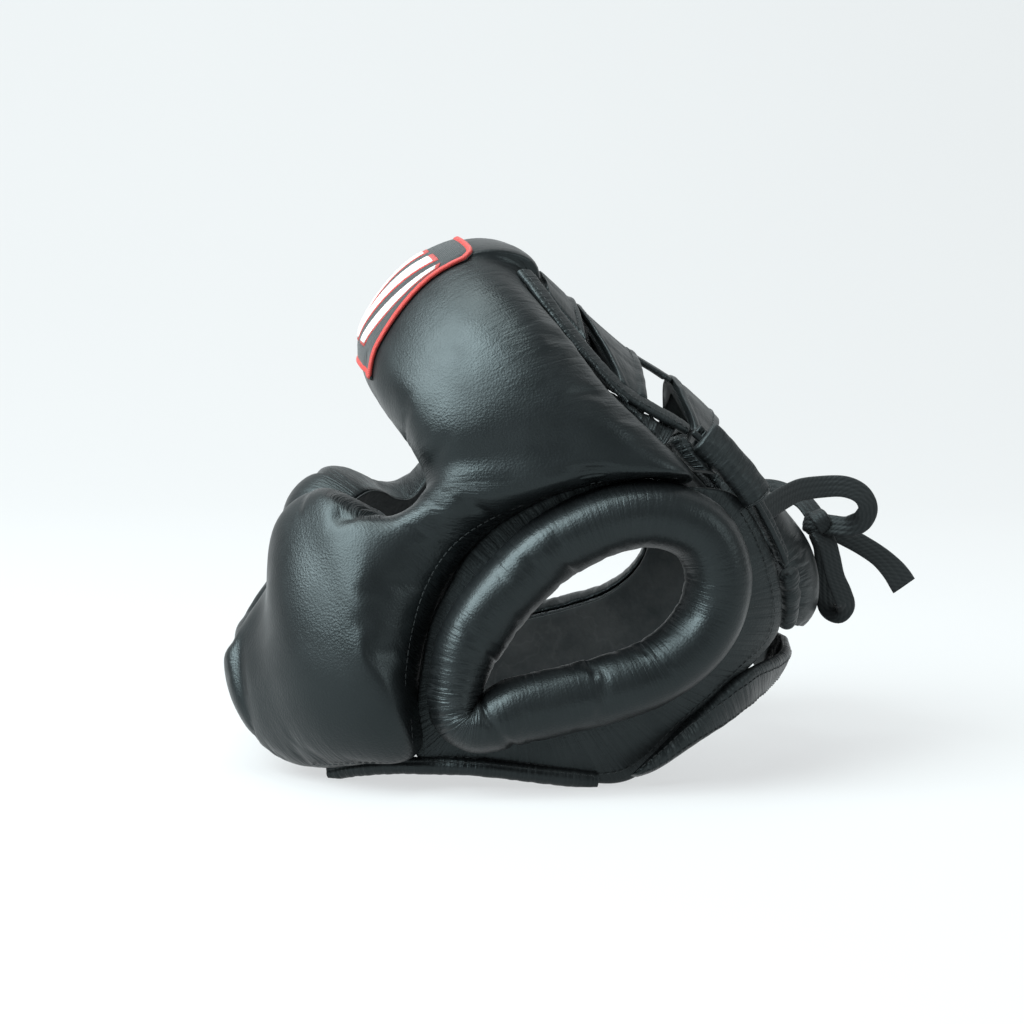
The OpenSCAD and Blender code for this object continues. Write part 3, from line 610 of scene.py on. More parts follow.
def rib(opening, outer, t, soft_in, soft_out, edge, bend=0):
    return [*opening, *outer, t, soft_in, soft_out, edge, bend]


LEFT_RIBS = [
    rib([0, 14], [0, 86], 29, 30, 32, 8), rib([14, 13], [20, 85], 29, 28, 31, 8),
    rib([25, 10.5], seat(-36, 80), 29, 25, 28, 6), rib([34, 7], seat(-15, 70), 27.5, 20, 24, 6),
    rib([40, 3], seat(6, 61), 26, 16, 24, 5), rib([43, -1], seat(30, 54), 24, 16, 22, 5, 5),
    rib([45, -5], seat(49, 46.5), 24, 16, 20, 5, 9), rib([45.5, -9], seat(33, 40), 24, 16, 22, 5, 6),
    rib([45.5, -13], seat(14, 27), 24, 16, 24, 5, 3), rib([45, -17], seat(-2, 8), 24, 16, 26, 5),
    rib([43, -20.5], seat(-12, -15), 26.1, 12, 28, 5), rib([38, -22], seat(-14, -42), 28.9, 9, 30, 5),
    rib([31, -21.5], seat(-7, -70), 31, 8, 32, 5), rib([23, -24], seat(6, -91.5), 31, 10, 34, 5),
    rib([16, -33], seat(-7, -105), 31, 15, 34, 6), rib([12, -50], seat(-18, -116), 26.5, 16, 36, 6),
    rib([12, -68], seat(-28, -122), 26.5, 18, 40, 6), rib([14, -82], [34, -122], 28.5, 16, 38, 5),
    rib([8, -89], [17, -118], 26, 13, 42, 4), rib([0, -90], [0, -116.5], 26, 13, 42, 4)]
HALF_RIBS = len(LEFT_RIBS) - 1
RIBS = LEFT_RIBS + [[-r[0], r[1], -r[2]] + r[3:] for r in LEFT_RIBS[HALF_RIBS - 1:0:-1]]
STEPS = 10
FACE = closed_curve(RIBS, STEPS)


def rounded(q):
    q = np.clip(q, 0, 1)
    return np.sqrt(1 - (1 - q) ** 2)


def rib_length(r):
    return np.linalg.norm(wall(r[:, 0], r[:, 1]) - wall(r[:, 2], r[:, 3]), axis=-1)


def face_height(r, s):
    far = rib_length(r)[:, None]
    t, edge = r[:, 4:5], r[:, 7:8] / r[:, 4:5]
    out = rounded((1 - s) * far / r[:, 6:7])
    return PAD_FLOOR + (t - PAD_FLOOR) * rounded(s * far / r[:, 5:6]) * (edge + (1 - edge) * out)


def notch(ribs_from_middle, s):
    """How far the leather sinks where the cheek's lower end overhangs the chin bar."""
    return (5.5 * near(ribs_from_middle, 15.2, 0.75) * near(s, 0.22, 0.30)
            + 1.6 * near(ribs_from_middle, 16.1, 0.3) * near(s, 0.55, 0.2))


def face_at(r, s, t):
    angle = r[:, 0:1] + (r[:, 2:3] - r[:, 0:1]) * s
    z = r[:, 1:2] + (r[:, 3:4] - r[:, 1:2]) * s + 4 * r[:, 8:9] * s * (1 - s)
    return skin(angle, z, t), outward(angle, z)


SHARES = 0.5 - 0.5 * np.cos(np.pi * np.linspace(0, 1, 37))
SHARES = 0.55 * SHARES + 0.45 * np.linspace(0, 1, 37)
s_grid = np.broadcast_to(SHARES, (len(FACE), len(SHARES)))
height = np.maximum(PAD_FLOOR + LEATHER, face_height(FACE, s_grid))
top, top_out = face_at(FACE, s_grid, height)
outer_pins = np.ones(len(SHARES))
outer_pins[1:-1] = 0
outer_pins[1] = outer_pins[-2] = 0.6
top = inflate(top, normals(top, True) * np.sign(np.sum(normals(top, True) * top_out, -1, keepdims=True)),
              outer_pins, True, 3.0, 0.025, 1.8)
length = rib_length(FACE)[:, None]
d_in, d_out = s_grid * length, (1 - s_grid) * length
along_in = np.broadcast_to(along_path(top[:, 2], True)[:-1, None], d_in.shape)
along_out = np.broadcast_to(along_path(top[:, -3], True)[:-1, None], d_in.shape)
station = np.arange(len(FACE)) / STEPS
fold_station = np.minimum(station, len(RIBS) - station)[:, None]


# Gathers: short along the openings, deeper at the eye's rear corner, at the chin and round the ring seam.
eye_corner = near(fold_station, 8.2, 1.8)
cheek_top = near(fold_station, 11.5, 1.6)
chin = near(fold_station, 17.5, 2.0)
low_cheek = near(fold_station, 14.6, 1.2)
brow_side = near(fold_station, 3.6, 1.8)
ragged_in = 0.6 + 0.8 * field(along_in / 11, along_in * 0, 5)
ragged_out = 0.6 + 0.8 * field(along_out / 13, along_out * 0, 9)
inner_folds = ((0.55 + 0.9 * eye_corner + 0.8 * cheek_top + 0.7 * chin)
               * np.exp(-d_in / (6 * ragged_in + 5 * eye_corner)))
outer_folds = 0.45 + 0.5 * eye_corner + 0.4 * chin + 0.4 * low_cheek + 0.5 * brow_side
outer_folds = outer_folds * np.exp(-d_out / (6 * ragged_out + 3 * chin + 5 * brow_side))
sink = (0.8 * inner_folds * creases(along_in, d_in, 5.2, 21)
        + 0.7 * outer_folds * creases(along_out, d_out, 6.0, 27))
sink += 1.0 * (field(along_out / 34, d_in / 30, 33) - 0.5) * smoothstep(d_in / 14) * smoothstep(d_out / 10)
sink += notch(fold_station, s_grid)
face_top = top - top_out * sink[..., None]
face_fold = np.clip(inner_folds + outer_folds, 0, 1.3)

RIM = 2.2
inset = RIM / length
low_s = inset + (1 - 2 * inset) * s_grid
low_height = np.maximum(PAD_FLOOR + 1, face_height(FACE, s_grid) - LEATHER - notch(fold_station, s_grid))
low_height -= np.clip(sink - notch(fold_station, s_grid), -0.3, 0.7)
under, _ = face_at(FACE, low_s, low_height)
rim = lambda s: face_at(FACE, np.broadcast_to(s, (len(FACE), 1)), np.full((len(FACE), 1), PAD_FLOOR))[0]
section = np.concatenate([rim(0.0), face_top, rim(1.0), rim(1 - inset), under[:, ::-1], rim(inset)], 1)
wide_fold = np.zeros(section.shape[:2])
wide_fold[:, 1:len(SHARES) + 1] = face_fold
piece("face_pad_leather", stand(section), SATIN, "face_cover", ring=True, fold=wide_fold, full=0.9)

lining_s = np.broadcast_to(np.linspace(0.0, 1.0, 21), (len(FACE), 21))
waves = 0.35 * (field(along_in[:, :1] / 9 + 0 * lining_s, lining_s * 5, 41) - 0.5)
lining_out = face_at(FACE, lining_s, LINING + 0 * lining_s)[0]
lining_in, _ = face_at(FACE, lining_s, 0.05 + np.clip(waves, -0.05, 0.3))
mid_in, _ = face_at(FACE, lining_s[:, :1] - 0.5 / length, 0.6 + 0 * lining_s[:, :1])
mid_out, _ = face_at(FACE, lining_s[:, -1:] + 0.5 / length, 0.6 + 0 * lining_s[:, -1:])
lining_rows = np.concatenate([lining_out, mid_out, lining_in[:, ::-1], mid_in], 1)
piece("face_lining_suede", stand(lining_rows), SUEDE, "face_lining", ring=True, fold=0.25, full=0.3)


def face_foam(name, first, last, *nodes):
    """The filling under the leather, a little clear of it all round."""
    rows = np.arange(round(first * STEPS), round(last * STEPS) + 1) % len(FACE)
    r = FACE[rows]
    s = np.linspace(0, 1, 17)
    m = ((RIM + 0.9) / rib_length(r))[:, None]
    share = m + (1 - 3 * m) * s[None]
    ribs_along = rows / STEPS
    from_middle = np.minimum(ribs_along, len(RIBS) - ribs_along)[:, None]
    full = face_height(r, np.broadcast_to(s, share.shape)) - notch(from_middle, share)
    high = np.maximum(PAD_FLOOR + 1, full - LEATHER) - 1.9
    low = np.full(share.shape, PAD_FLOOR + 0.45)
    high = np.maximum(high, low + 0.4)
    ends = np.minimum(np.arange(len(rows)), np.arange(len(rows))[::-1])[:, None]
    high = low + (high - low) * (0.55 + 0.45 * rounded(ends / 5))
    ring = np.concatenate([face_at(r, share, high)[0], face_at(r, share, low)[0][:, ::-1]], 1)
    piece(name, stand(ring), FOAM, *nodes, smooth=False, full=1.0)


face_foam("forehead_filling", -5.9, 5.9, "forehead_foam")
face_foam("cheek_filling_left", 8.1, 15.4, "cheek_foam_left")
face_foam("cheek_filling_right", len(RIBS) - 15.4, len(RIBS) - 8.1, "cheek_foam_right")
face_foam("chin_filling", 16.1, len(RIBS) - 16.1, "chin_foam")

# ---- Sides: panel, lining and ear ring ----
RING = [
    [12, -69.5], [5.5, -54], [4.5, -37], [8, -19], [14.5, 1], [27, 19], [43, 29], [59, 30],
    [71, 21], [76, 7], [75, -8], [68, -24], [56, -37.5], [43, -49.5], [31, -59.5], [20, -69]]
PANEL_EDGE = [
    [5, -94], [-10.5, -57], [-13.3, -36], [-11.5, -12.5], [-1.6, 9.3], [13.6, 27.8], [33.4, 39.8], [50, 45],
    [69, 49], [94, 33], [109, 12], [104, -8], [93, -37], [81, -67], [49, -79], [22, -88.5]]
RING_STEPS = 14
RING_R, RING_H, EAR_EDGE = 12.5, 23.0, 8.0
ring_line, edge_line = closed_curve(RING, RING_STEPS), closed_curve(PANEL_EDGE, RING_STEPS)
ring_side = unit((np.roll(ring_line, -1, 0) - np.roll(ring_line, 1, 0))[:, ::-1] * [-1, 1])
turn = np.arange(len(ring_line)) * 2 / RING_STEPS
inner_share = np.minimum(1, 0.5 + 0.14 * np.minimum(turn, 32 - turn))
ear_line = ring_line - EAR_EDGE * inner_share[:, None] * ring_side


def panel_at(s, t):
    """Points of the side panel: s from the ear hole's edge, 0, to the outer edge, 1; t above the wall."""
    p = ear_line[:, None] + (edge_line - ear_line)[:, None] * np.asarray(s)[..., None]
    return on_side(p[..., 0], p[..., 1], t), out_side(p[..., 0], p[..., 1])


panel_s = np.linspace(0, 1, 17)
p_s = np.broadcast_to(panel_s, (len(ring_line), 17))
around = along_path(ring_line, True)[:-1, None] + 0 * p_s
panel_sink = 0.5 * creases(around, p_s * 20, 6, 71) * smoothstep((p_s - 0.5) * 3)
panel_top, _ = panel_at(p_s, PANEL_TOP - panel_sink)
panel_low, _ = panel_at(p_s, PAD_FLOOR + 0.05 + 0 * p_s)
panel_mid = [panel_at(np.full((len(ring_line), 1), v), np.full((len(ring_line), 1), 3.1))[0]
             for v in (-0.02, 1.015)]
panel_rows = np.concatenate([panel_top, panel_mid[1], panel_low[:, ::-1], panel_mid[0]], 1)
side_rows = np.concatenate([panel_at(p_s, 1.15 + 0 * p_s)[0], panel_at(p_s, 0.05 + 0 * p_s)[0][:, ::-1]], 1)

SECTION = open_curve([[-0.85, 0], [-1, 0.25], [-0.93, 0.56], [-0.58, 0.88], [0, 1], [0.58, 0.88],
                      [0.93, 0.56], [1.02, 0.25], [1.1, 0]], 3)
ring_floor = PANEL_TOP + GAP
foot = on_side(ring_line[:, 0], ring_line[:, 1], ring_floor)
ring_up = out_side(ring_line[:, 0], ring_line[:, 1])
beside = [on_side(ring_line[:, 0] + k * ring_side[:, 0], ring_line[:, 1] + k * ring_side[:, 1], ring_floor)
          for k in (1, -1)]
ring_flat = unit(beside[0] - beside[1])


def ring_rows(less, lift=None):
    sec = SECTION if lift is None else SECTION * [1, 0]
    side = np.where(sec[:, 0] < 0, inner_share[:, None], 1.0) * sec[:, 0] * (RING_R - less)
    up = sec[:, 1] * (RING_H - less) + (0.0 if lift is None else lift)
    up = np.broadcast_to(up, side.shape)
    return foot[:, None] + ring_flat[:, None] * side[..., None] + ring_up[:, None] * up[..., None]


ring_top = ring_rows(0)
ring_pins = np.zeros(len(SECTION))
ring_pins[[0, 1, -2, -1]] = [1, 0.7, 0.7, 1]
ring_centre = foot[:, None] + ring_up[:, None] * RING_H * 0.45
ring_out = unit(ring_top - ring_centre)
ring_top = inflate(ring_top, ring_out, ring_pins, True, 4.0, 0.03, 1.5)
ring_around = np.broadcast_to(along_path(ring_line, True)[:-1, None], ring_top.shape[:2])
over = np.broadcast_to(along_path(SECTION * RING_R), ring_top.shape[:2])
from_inner, from_outer = over, over[:, -1:] - over
ragged = 0.5 + field(ring_around / 12, ring_around * 0, 81)
corner = near(np.minimum(turn, 32 - turn)[:, None], 0, 1.6)
ring_gather = (1.0 * np.exp(-from_inner / (6 * ragged + 2)) + 0.9 * np.exp(-from_outer / (5 * ragged + 2))
               + 1.5 * corner)
ring_sink = 0.5 * np.minimum(ring_gather, 1.8) * creases(ring_around, over, 5.2, 83)
ring_sink += 0.5 * (field(ring_around / 24, over / 30, 87) - 0.5)
# The cover's own seam crosses the tube at its low front corner.
seam = near(turn[:, None] - 30.6 + 0.05 * over, 0, 0.16) + near(turn[:, None] + 1.4 + 0.05 * over, 0, 0.16)
ring_sink += 1.5 * seam
ring_top = ring_top - ring_out * ring_sink[..., None]
ring_low = ring_rows(LEATHER + 0.2)
ring_section = np.concatenate([ring_top, ring_low[:, ::-1]], 1)
ring_fold = np.zeros(ring_section.shape[:2])
ring_fold[:, :len(SECTION)] = np.clip(0.12 + 0.6 * ring_gather, 0, 1.2)
ring_foam = np.concatenate([ring_rows(LEATHER + 2.2), ring_rows(LEATHER + 2.2, 0.6)[:, ::-1]], 1)

for hand, flip in (("left", lambda g: g), ("right", mirrored)):
    piece("side_panel_leather_" + hand, stand(flip(panel_rows)), PLAIN, "side_panel_" + hand, ring=True,
          fold=0.6, full=0.7)
    piece("side_lining_suede_" + hand, stand(flip(side_rows)), SUEDE, "side_lining_" + hand, ring=True,
          smooth=False, full=0.3)
    piece("ear_ring_leather_" + hand, stand(flip(ring_section)), SATIN, "ear_ring_cover_" + hand, ring=True,
          fold=ring_fold, full=1.0)
    piece("ear_ring_filling_" + hand, stand(flip(ring_foam)), FOAM, "ear_ring_foam_" + hand, ring=True,
          smooth=False, full=1.0)

# ---- Forehead patch: a woven badge with a raised stitched border and a plain motif ----
def patch_at(u, s, lift):
    """u in ribs from the middle, s the share up the ribs; lift above the leather as it lies."""
    u, s, lift = np.broadcast_arrays(np.asarray(u, float), np.asarray(s, float), np.asarray(lift, float))
    i, j = u * STEPS, np.interp(s, SHARES, np.arange(len(SHARES)))
    i0, j0 = np.floor(i).astype(int), np.minimum(np.floor(j).astype(int), len(SHARES) - 2)
    a, b = (i - i0)[..., None], (j - j0)[..., None]

    def sample(grid):
        first, second = i0 % len(FACE), (i0 + 1) % len(FACE)
        return ((grid[first, j0] * (1 - b) + grid[first, j0 + 1] * b) * (1 - a)
                + (grid[second, j0] * (1 - b) + grid[second, j0 + 1] * b) * a)
    up = unit(sample(top_out))
    return sample(face_top) + up * lift[..., None], up


PATCH_U, PATCH_S = 1.75, (0.17, 0.82)
pu, ps = np.meshgrid(np.linspace(-PATCH_U, PATCH_U, 61), np.linspace(*PATCH_S, 31), indexing="ij")
patch_rise = 1.15 + 0.12 * (field(pu * 9, ps * 14, 91) - 0.5)
badge_rows = np.concatenate([patch_at(pu, ps, patch_rise)[0], patch_at(pu, ps, 0.15 + 0 * pu)[0][:, ::-1]], 1)
piece("patch_cloth", stand(badge_rows), CLOTH_BLACK, "forehead_patch", smooth=False)


def rounded_rect(hu, s0, s1, cu, cs):
    """The outline of a rectangle on the patch, its corners rounded by cu along and cs up."""
    pts = []
    for su, ss, a0 in ((1, 1, 0), (-1, 1, 90), (-1, -1, 180), (1, -1, 270)):
        for q in range(6):
            a = math.radians(a0 + 18 * q)
            pts.append((su * (hu - cu) + cu * math.cos(a),
                        (s0 + s1) / 2 + ss * ((s1 - s0) / 2 - cs) + cs * math.sin(a)))
    return pts


outline = np.array(rounded_rect(PATCH_U - 0.03, PATCH_S[0] + 0.01, PATCH_S[1] - 0.01, 0.06, 0.04))
outline = np.concatenate([outline, outline[:1]])
outline_d = along_path(outline)
outline_at = np.linspace(0, outline_d[-1], 181)[:-1]
outline = np.stack([np.interp(outline_at, outline_d, outline[:, k]) for k in (0, 1)], 1)
border_path, border_up = patch_at(outline[:, 0], outline[:, 1], 0.95)
border = sweep(border_path, border_up, oval(2.6, 1.7, 14, 2.4), True)
piece("patch_border", stand(border), CLOTH_RED, ring=True, smooth=False)


def patch_bar(name, u0, u1, look, lift, shrink=0.0):
    """A slanted bar of embroidery, a closed low block."""
    s = np.linspace(0.275 + shrink, 0.715 - shrink, 15)
    slant = 1.2 * (s - 0.495)
    lo, hi = u0 + slant + shrink * 2.2, u1 + slant - shrink * 2.2
    u = lo[:, None] + (hi - lo)[:, None] * np.linspace(0, 1, 9)
    dome = 1 - np.abs(np.linspace(-1, 1, 9)) ** 4
    raised = patch_at(u, s[:, None], lift + 0.35 * dome * np.ones(u.shape))[0]
    base = patch_at(u, s[:, None], 0.9 + 0 * u)[0]
    piece(name, stand(np.concatenate([raised, base[:, ::-1]], 1)), look, smooth=False)


for index, (u0, u1) in enumerate([(c - 0.18, c + 0.18) for c in (-1.08, -0.54, 0, 0.54, 1.08)]):
    patch_bar("patch_bar_edge_%d" % (index + 1), u0, u1, CLOTH_RED, 1.25)
    patch_bar("patch_bar_%d" % (index + 1), u0, u1, CLOTH_WHITE, 1.55, 0.016)

# ---- Jaw bindings ----
JAW = [[-20, -57.5, -121], [-12, -65.5, -112.5], [3, -74.5, -101.5], [27, -80.5, -88.5], [50, -81, -79.5],
       [72, -79, -71.5]]
jaw = stood(open_curve(JAW, 26))
jaw_d = along_path(jaw)
jaw_up = np.broadcast_to(np.array([0, -1.0, 0.1]), jaw.shape)
a = np.arange(28) * 2 * np.pi / 28
jaw_section = np.stack([np.cos(a) * 3.6, np.sin(a) * 3.0], 1)
# A welt line runs along the outer face, a third of the way up.
groove = near(a, np.pi / 2 + 0.42, 0.16) * 0.5
jaw_section = jaw_section * (1 - groove / 3)[:, None]
puck = 0.28 * creases(jaw_d[:, None] + 0 * a, 3 * a, 4.5, 101)
jaw_sections = jaw_section[None] * (1 - puck / 3)[..., None]
jaw_grid = sweep(jaw, jaw_up, jaw_sections)
jaw_grid[..., 2] = np.maximum(jaw_grid[..., 2], 0.05)

# ---- Crown ----
CROWN = open_curve([[-50, 93.6], [-36, 91.2], [-19, 86.8], [-4, 83], [12, 79.8], [27, 78.8], [41, 77.2],
                    [60, 71], [80, 58]], 12)
BAND = open_curve([[-44, 32], [-31, 43.5], [-15, 52], [0, 57], [13, 59.5], [27, 59], [41, 57]], 14)
STRAP_T = 2.4
GUSSET_T, FRONT_GUSSET_T = 2.4, 2.0


def crown(x, y):
    x, y = np.broadcast_arrays(np.asarray(x, float), np.asarray(y, float))
    return np.stack([x, y, np.interp(x, CROWN[:, 0], CROWN[:, 1]) - 0.0042 * y * y], -1)


def leather_sheet(name, grid, up, t, look, *nodes, fold=0.4, sink=0.0, roll=()):
    """A closed sheet of leather: grid is its underside, up points outward, and roll names its rolled ends."""
    n, m = grid.shape[:2]
    du = np.linalg.norm(np.gradient(grid, axis=0), axis=-1)
    from_edge = {"first": np.cumsum(du, 0) - du[:1], "last": np.cumsum(du[::-1], 0)[::-1] - du[-1:]}
    high = np.full((n, m), t)
    for side in roll:
        high = high + 0.9 * near(from_edge[side], 1.8, 1.7) - 0.35 * near(from_edge[side], 4.6, 0.8)
    high = high - sink
    top_face = grid + up * high[..., None]
    across_edge = [(grid[:, k] + top_face[:, k]) / 2 + unit(grid[:, k] - grid[:, q]) * 0.45
                   for k, q in ((-1, -2), (0, 1))]
    rows = np.concatenate([top_face, across_edge[0][:, None], grid[:, ::-1], across_edge[1][:, None]], 1)
    # The end rows close to a rounded edge.
    ends = []
    for k, q in ((0, 1), (-1, -2)):
        step = unit(grid[k] - grid[q])
        outer = rows[k].copy()
        lift = (top_face[k] + grid[k]) / 2
        outer[:m] = lift + step * 0.45 + (top_face[k] - lift) * 0.35
        outer[m + 1:2 * m + 1] = (lift + step * 0.45 + (grid[k] - lift) * 0.35)[::-1]
        outer[m] = (rows[k][m] + outer[m - 1]) / 2
        outer[-1] = (rows[k][-1] + outer[0]) / 2
        ends.append(outer)
    rows = np.concatenate([ends[0][None], rows, ends[1][None]], 0)
    piece(name, stand(rows), look, *nodes, fold=fold)


def on_crown(rows, across=33, fine=6):
    r = open_curve(rows, fine)
    u = np.linspace(-1, 1, across)
    x = r[:, :1] + (r[:, 1:2] - r[:, :1]) * u * u
    return crown(x, r[:, 2:3] * u)


def crown_up(grid):
    n = np.cross(np.gradient(grid, axis=0), np.gradient(grid, axis=1))
    n = unit(n)
    return n * np.sign(n[..., 2:])


def crown_piece(name, grid, node, roll, wrinkle, seed, wave=6.0):
    up = crown_up(grid)
    lengths = np.linalg.norm(grid - grid[:, :1], axis=-1)
    deep = wrinkle * creases(
        lengths, np.cumsum(np.linalg.norm(np.gradient(grid, axis=0), axis=-1), 0), wave, seed)
    leather_sheet(name, grid, up, STRAP_T, PLAIN, node, sink=deep, roll=roll)


front_flap = on_crown([[-37.2, -33.2, 27], [-35, -32.5, 31], [-32, -31, 34.5], [-27, -26, 38],
                       [-21.5, -17, 42.5], [-19, -11, 47]])
centre_strap = on_crown([[13, 13, 13], [22, 22, 11.5], [30.6, 31, 13]], 13, 8)
rear_flap = on_crown([[31, 43, 53], [36, 45, 53.5], [42, 47, 53], [49, 49, 52], [56, 51, 50]])
cu = np.linspace(-1, 1, 81)
leaf_a, leaf_b = 8 - 26 * np.cos(np.pi / 2 * cu) ** 1.2, 21 - 7 * np.cos(np.pi / 2 * cu)
cross_strap = crown(leaf_a[:, None] + (leaf_b - leaf_a)[:, None] * np.linspace(0, 1, 17), (-56 * cu)[:, None])
crown_piece("front_flap_leather", front_flap, "crown_front_flap", ("last",), 0.5, 113)
crown_piece("centre_strap_leather", centre_strap, "crown_centre_strap", (), 0.2, 117)
crown_piece("cross_strap_leather", cross_strap.transpose(1, 0, 2), "crown_cross_strap", ("first", "last"),
            0.35, 119, 8.0)
crown_piece("rear_flap_leather", rear_flap, "crown_rear_flap", ("first",), 0.5, 123)

band_path = crown(BAND[:, 0], -BAND[:, 1]) + [0, 0, 1.2]
band_d = along_path(band_path)
band_sink = 0.22 * creases(band_d[:, None] + np.zeros(20), np.zeros(20), 5.0, 131)
band_grid = sweep(band_path, np.broadcast_to(np.array([0, -0.45, 0.9]), band_path.shape),
                  oval(8.0, 3.4, 20, 3.6)[None] * (1 - band_sink / 1.6)[..., None])

# The gusset between the forehead pad and the band is soft coarse leather with deep slack creases.
foot_line = open_curve([on_side(x, z, 3.6) for x, z in ((14, 61.7), (21, 59.5), (28, 57.3), (34, 55.3))], 14)
rim_x = np.linspace(12, 36, len(foot_line))
rim_line = crown(rim_x, -np.interp(rim_x, BAND[:, 0], BAND[:, 1]) - 1.5) - [0, 0, 0.2]
gusset_s = np.linspace(0, 1, 13)
gusset = foot_line[:, None] + (rim_line - foot_line)[:, None] * gusset_s[None, :, None]
gusset_up = np.broadcast_to(unit(np.array([0, -0.3, 0.95])), gusset.shape)
gusset_d = along_path(foot_line)[:, None] + 0 * gusset_s
gusset_sink = 1.0 * creases(gusset_d, gusset_s * 8, 3.6, 137) - 0.2

front_foot = open_curve([on_side(x, z, 5.2) for x, z in (
    (-36, 82), (-25, 78), (-15, 73.5), (-4, 68.5), (6, 64.8), (14, 62.2))], 12)
front_x = np.linspace(-38, 13, len(front_foot))
front_rim = crown(front_x, -np.interp(front_x, BAND[:, 0], BAND[:, 1]) - 0.6) + [0, 0, 0.6]
front_gusset = front_foot[:, None] + (front_rim - front_foot)[:, None] * gusset_s[None, :, None]
front_sink = 0.7 * creases(along_path(front_foot)[:, None] + 0 * gusset_s, gusset_s * 8, 4.0, 139)

wedge_a = open_curve([[35.5, 56.4], [42, 53.4], [49, 51]], 14)
wedge_b = open_curve([[40, 61], [49, 58], [58, 54]], 14)
wedge_s = np.linspace(0, 1, 21)
wedge_p = wedge_a[:, None] + (wedge_b - wedge_a)[:, None] * wedge_s[None, :, None]
wedge_h = np.interp(wedge_s, [0, 0.35, 0.7, 1], [5, 7.5, 6, 3])[None] + 0 * wedge_p[..., 0]
wedge_d = along_path(np.concatenate([wedge_a, 0 * wedge_a[:, :1]], 1))[:, None] + 0 * wedge_s
wedge_h = wedge_h - 1.5 * creases(wedge_d * 0.6 + 9 * wedge_s, wedge_s * 12, 3.4, 141)
wedge_top = on_side(wedge_p[..., 0], wedge_p[..., 1], wedge_h)
wedge_low = on_side(wedge_p[..., 0], wedge_p[..., 1], PAD_FLOOR + 0.1 + 0 * wedge_h)
wedge_rows = np.concatenate([wedge_top, wedge_low[:, ::-1]], 1)

# ---- Rear edge: roll, piping and sleeves ----
ROLL = open_curve([[42, 64.3], [54, 60.5], [70, 53.8], [84.5, 45], [97, 35.5], [106.5, 25], [112, 14.5]], 12)


def roll_path(first, last, lift, aside):
    """first and last count thirds of a span of the roll's line."""
    p = ROLL[first * 4:last * 4 + 1]
    at = on_side(p[:, 0], p[:, 1], lift)
    return at + aside * unit(on_side(p[:, 0] + 1, p[:, 1] + 2, lift) - at), out_side(p[:, 0], p[:, 1])


def roll_grid(first, last, lift, aside, w, h, wrinkle, wave, seed, k=20, power=2.0):
    path, up = roll_path(first, last, lift, aside)
    fine = np.linspace(0, len(path) - 1, 3 * len(path))
    pick = lambda v: np.stack([np.interp(fine, np.arange(len(path)), v[:, q]) for q in range(3)], 1)
    path, up = pick(path), pick(up)
    d = along_path(path)
    sunk = wrinkle * creases(d[:, None] + np.zeros(k), 6 * np.linspace(0, 1, k), wave, seed)
    grid = sweep(path, up, oval(w, h, k, power)[None] * (1 - 2 * sunk / min(w, h))[..., None])
    tip = np.minimum(np.arange(len(grid)), np.arange(len(grid))[::-1])
    centre = grid.mean(1, keepdims=True)
    return centre + (grid - centre) * (0.6 + 0.4 * rounded(tip / 4))[:, None, None]


roll = roll_grid(0, 12, 3.4, 0.8, 6.0, 6.0, 0.35, 4.2, 151)
piping = roll_grid(0, 12, 7, -3.4, 2.8, 2.8, 0.1, 5.0, 157, 12)
low_sleeve = roll_grid(13, 18, 4, 0.8, 9.8, 7.8, 0.9, 4.0, 163, 28, 2.3)
sleeve_path, sleeve_up = roll_path(1, 7, 3.4, 0.8)
sleeve_along = unit(np.gradient(sleeve_path, axis=0))
sleeve_across = unit(np.cross(sleeve_along, sleeve_up))
ARC = open_curve([[9, 1.8], [9.5, 5], [6, 8.4], [0, 8.4], [-4.5, 6.6], [-5.6, 3.4]], 5)


def sleeve_face(share, sink=0.0):
    high = ARC[:, 1] * share + (1 - share) * 2
    grid = sleeve_path[:, None] + sleeve_across[:, None] * (ARC[:, 0] * share)[None, :, None]
    grid = grid + sleeve_up[:, None] * high[None, :, None]
    return grid - sleeve_up[:, None] * np.asarray(sink)[..., None] * np.ones(grid.shape)


sd = along_path(sleeve_path)[:, None] + 0 * ARC[:, 0]
sleeve_sink = 0.8 * creases(sd + 0.6 * ARC[:, 0], ARC[:, 0], 4.5, 167)
sleeve_rows = np.concatenate(
    [sleeve_face(1.0, sleeve_sink), sleeve_face(0.78, sleeve_sink * 0.6)[:, ::-1]], 1)

for hand, flip in (("left", lambda g: g), ("right", mirrored)):
    piece("jaw_binding_leather_" + hand, flip(jaw_grid) * 0.001, EDGING, "jaw_binding_" + hand, fold=0.5)
    piece("crown_band_leather_" + hand, stand(flip(band_grid)), PLAIN, "crown_band_" + hand, fold=0.5)
    leather_sheet("gusset_leather_" + hand, flip(gusset - gusset_up * GUSSET_T), flip(gusset_up), GUSSET_T,
                  COARSE, "crown_gusset_" + hand, fold=1.0, sink=gusset_sink)
    leather_sheet("front_gusset_leather_" + hand, flip(front_gusset - gusset_up[:1] * FRONT_GUSSET_T),
                  flip(gusset_up[:1] + 0 * front_gusset), FRONT_GUSSET_T, COARSE, fold=1.0, sink=front_sink)
    piece("side_wedge_leather_" + hand, stand(flip(wedge_rows)), PLAIN, "side_wedge_" + hand, fold=1.0,
          full=0.6)
    piece("rear_roll_leather_" + hand, stand(flip(roll)), PLAIN, "rear_roll_" + hand, fold=0.8)
    piece("rear_piping_leather_" + hand, stand(flip(piping)), EDGING, "rear_piping_" + hand, fold=0.3,
          smooth=False)
    piece("lower_sleeve_leather_" + hand, stand(flip(low_sleeve)), PLAIN, "lower_sleeve_" + hand, fold=1.0)
    piece("upper_sleeve_leather_" + hand, stand(flip(sleeve_rows)), PLAIN, "upper_sleeve_" + hand, fold=0.8)

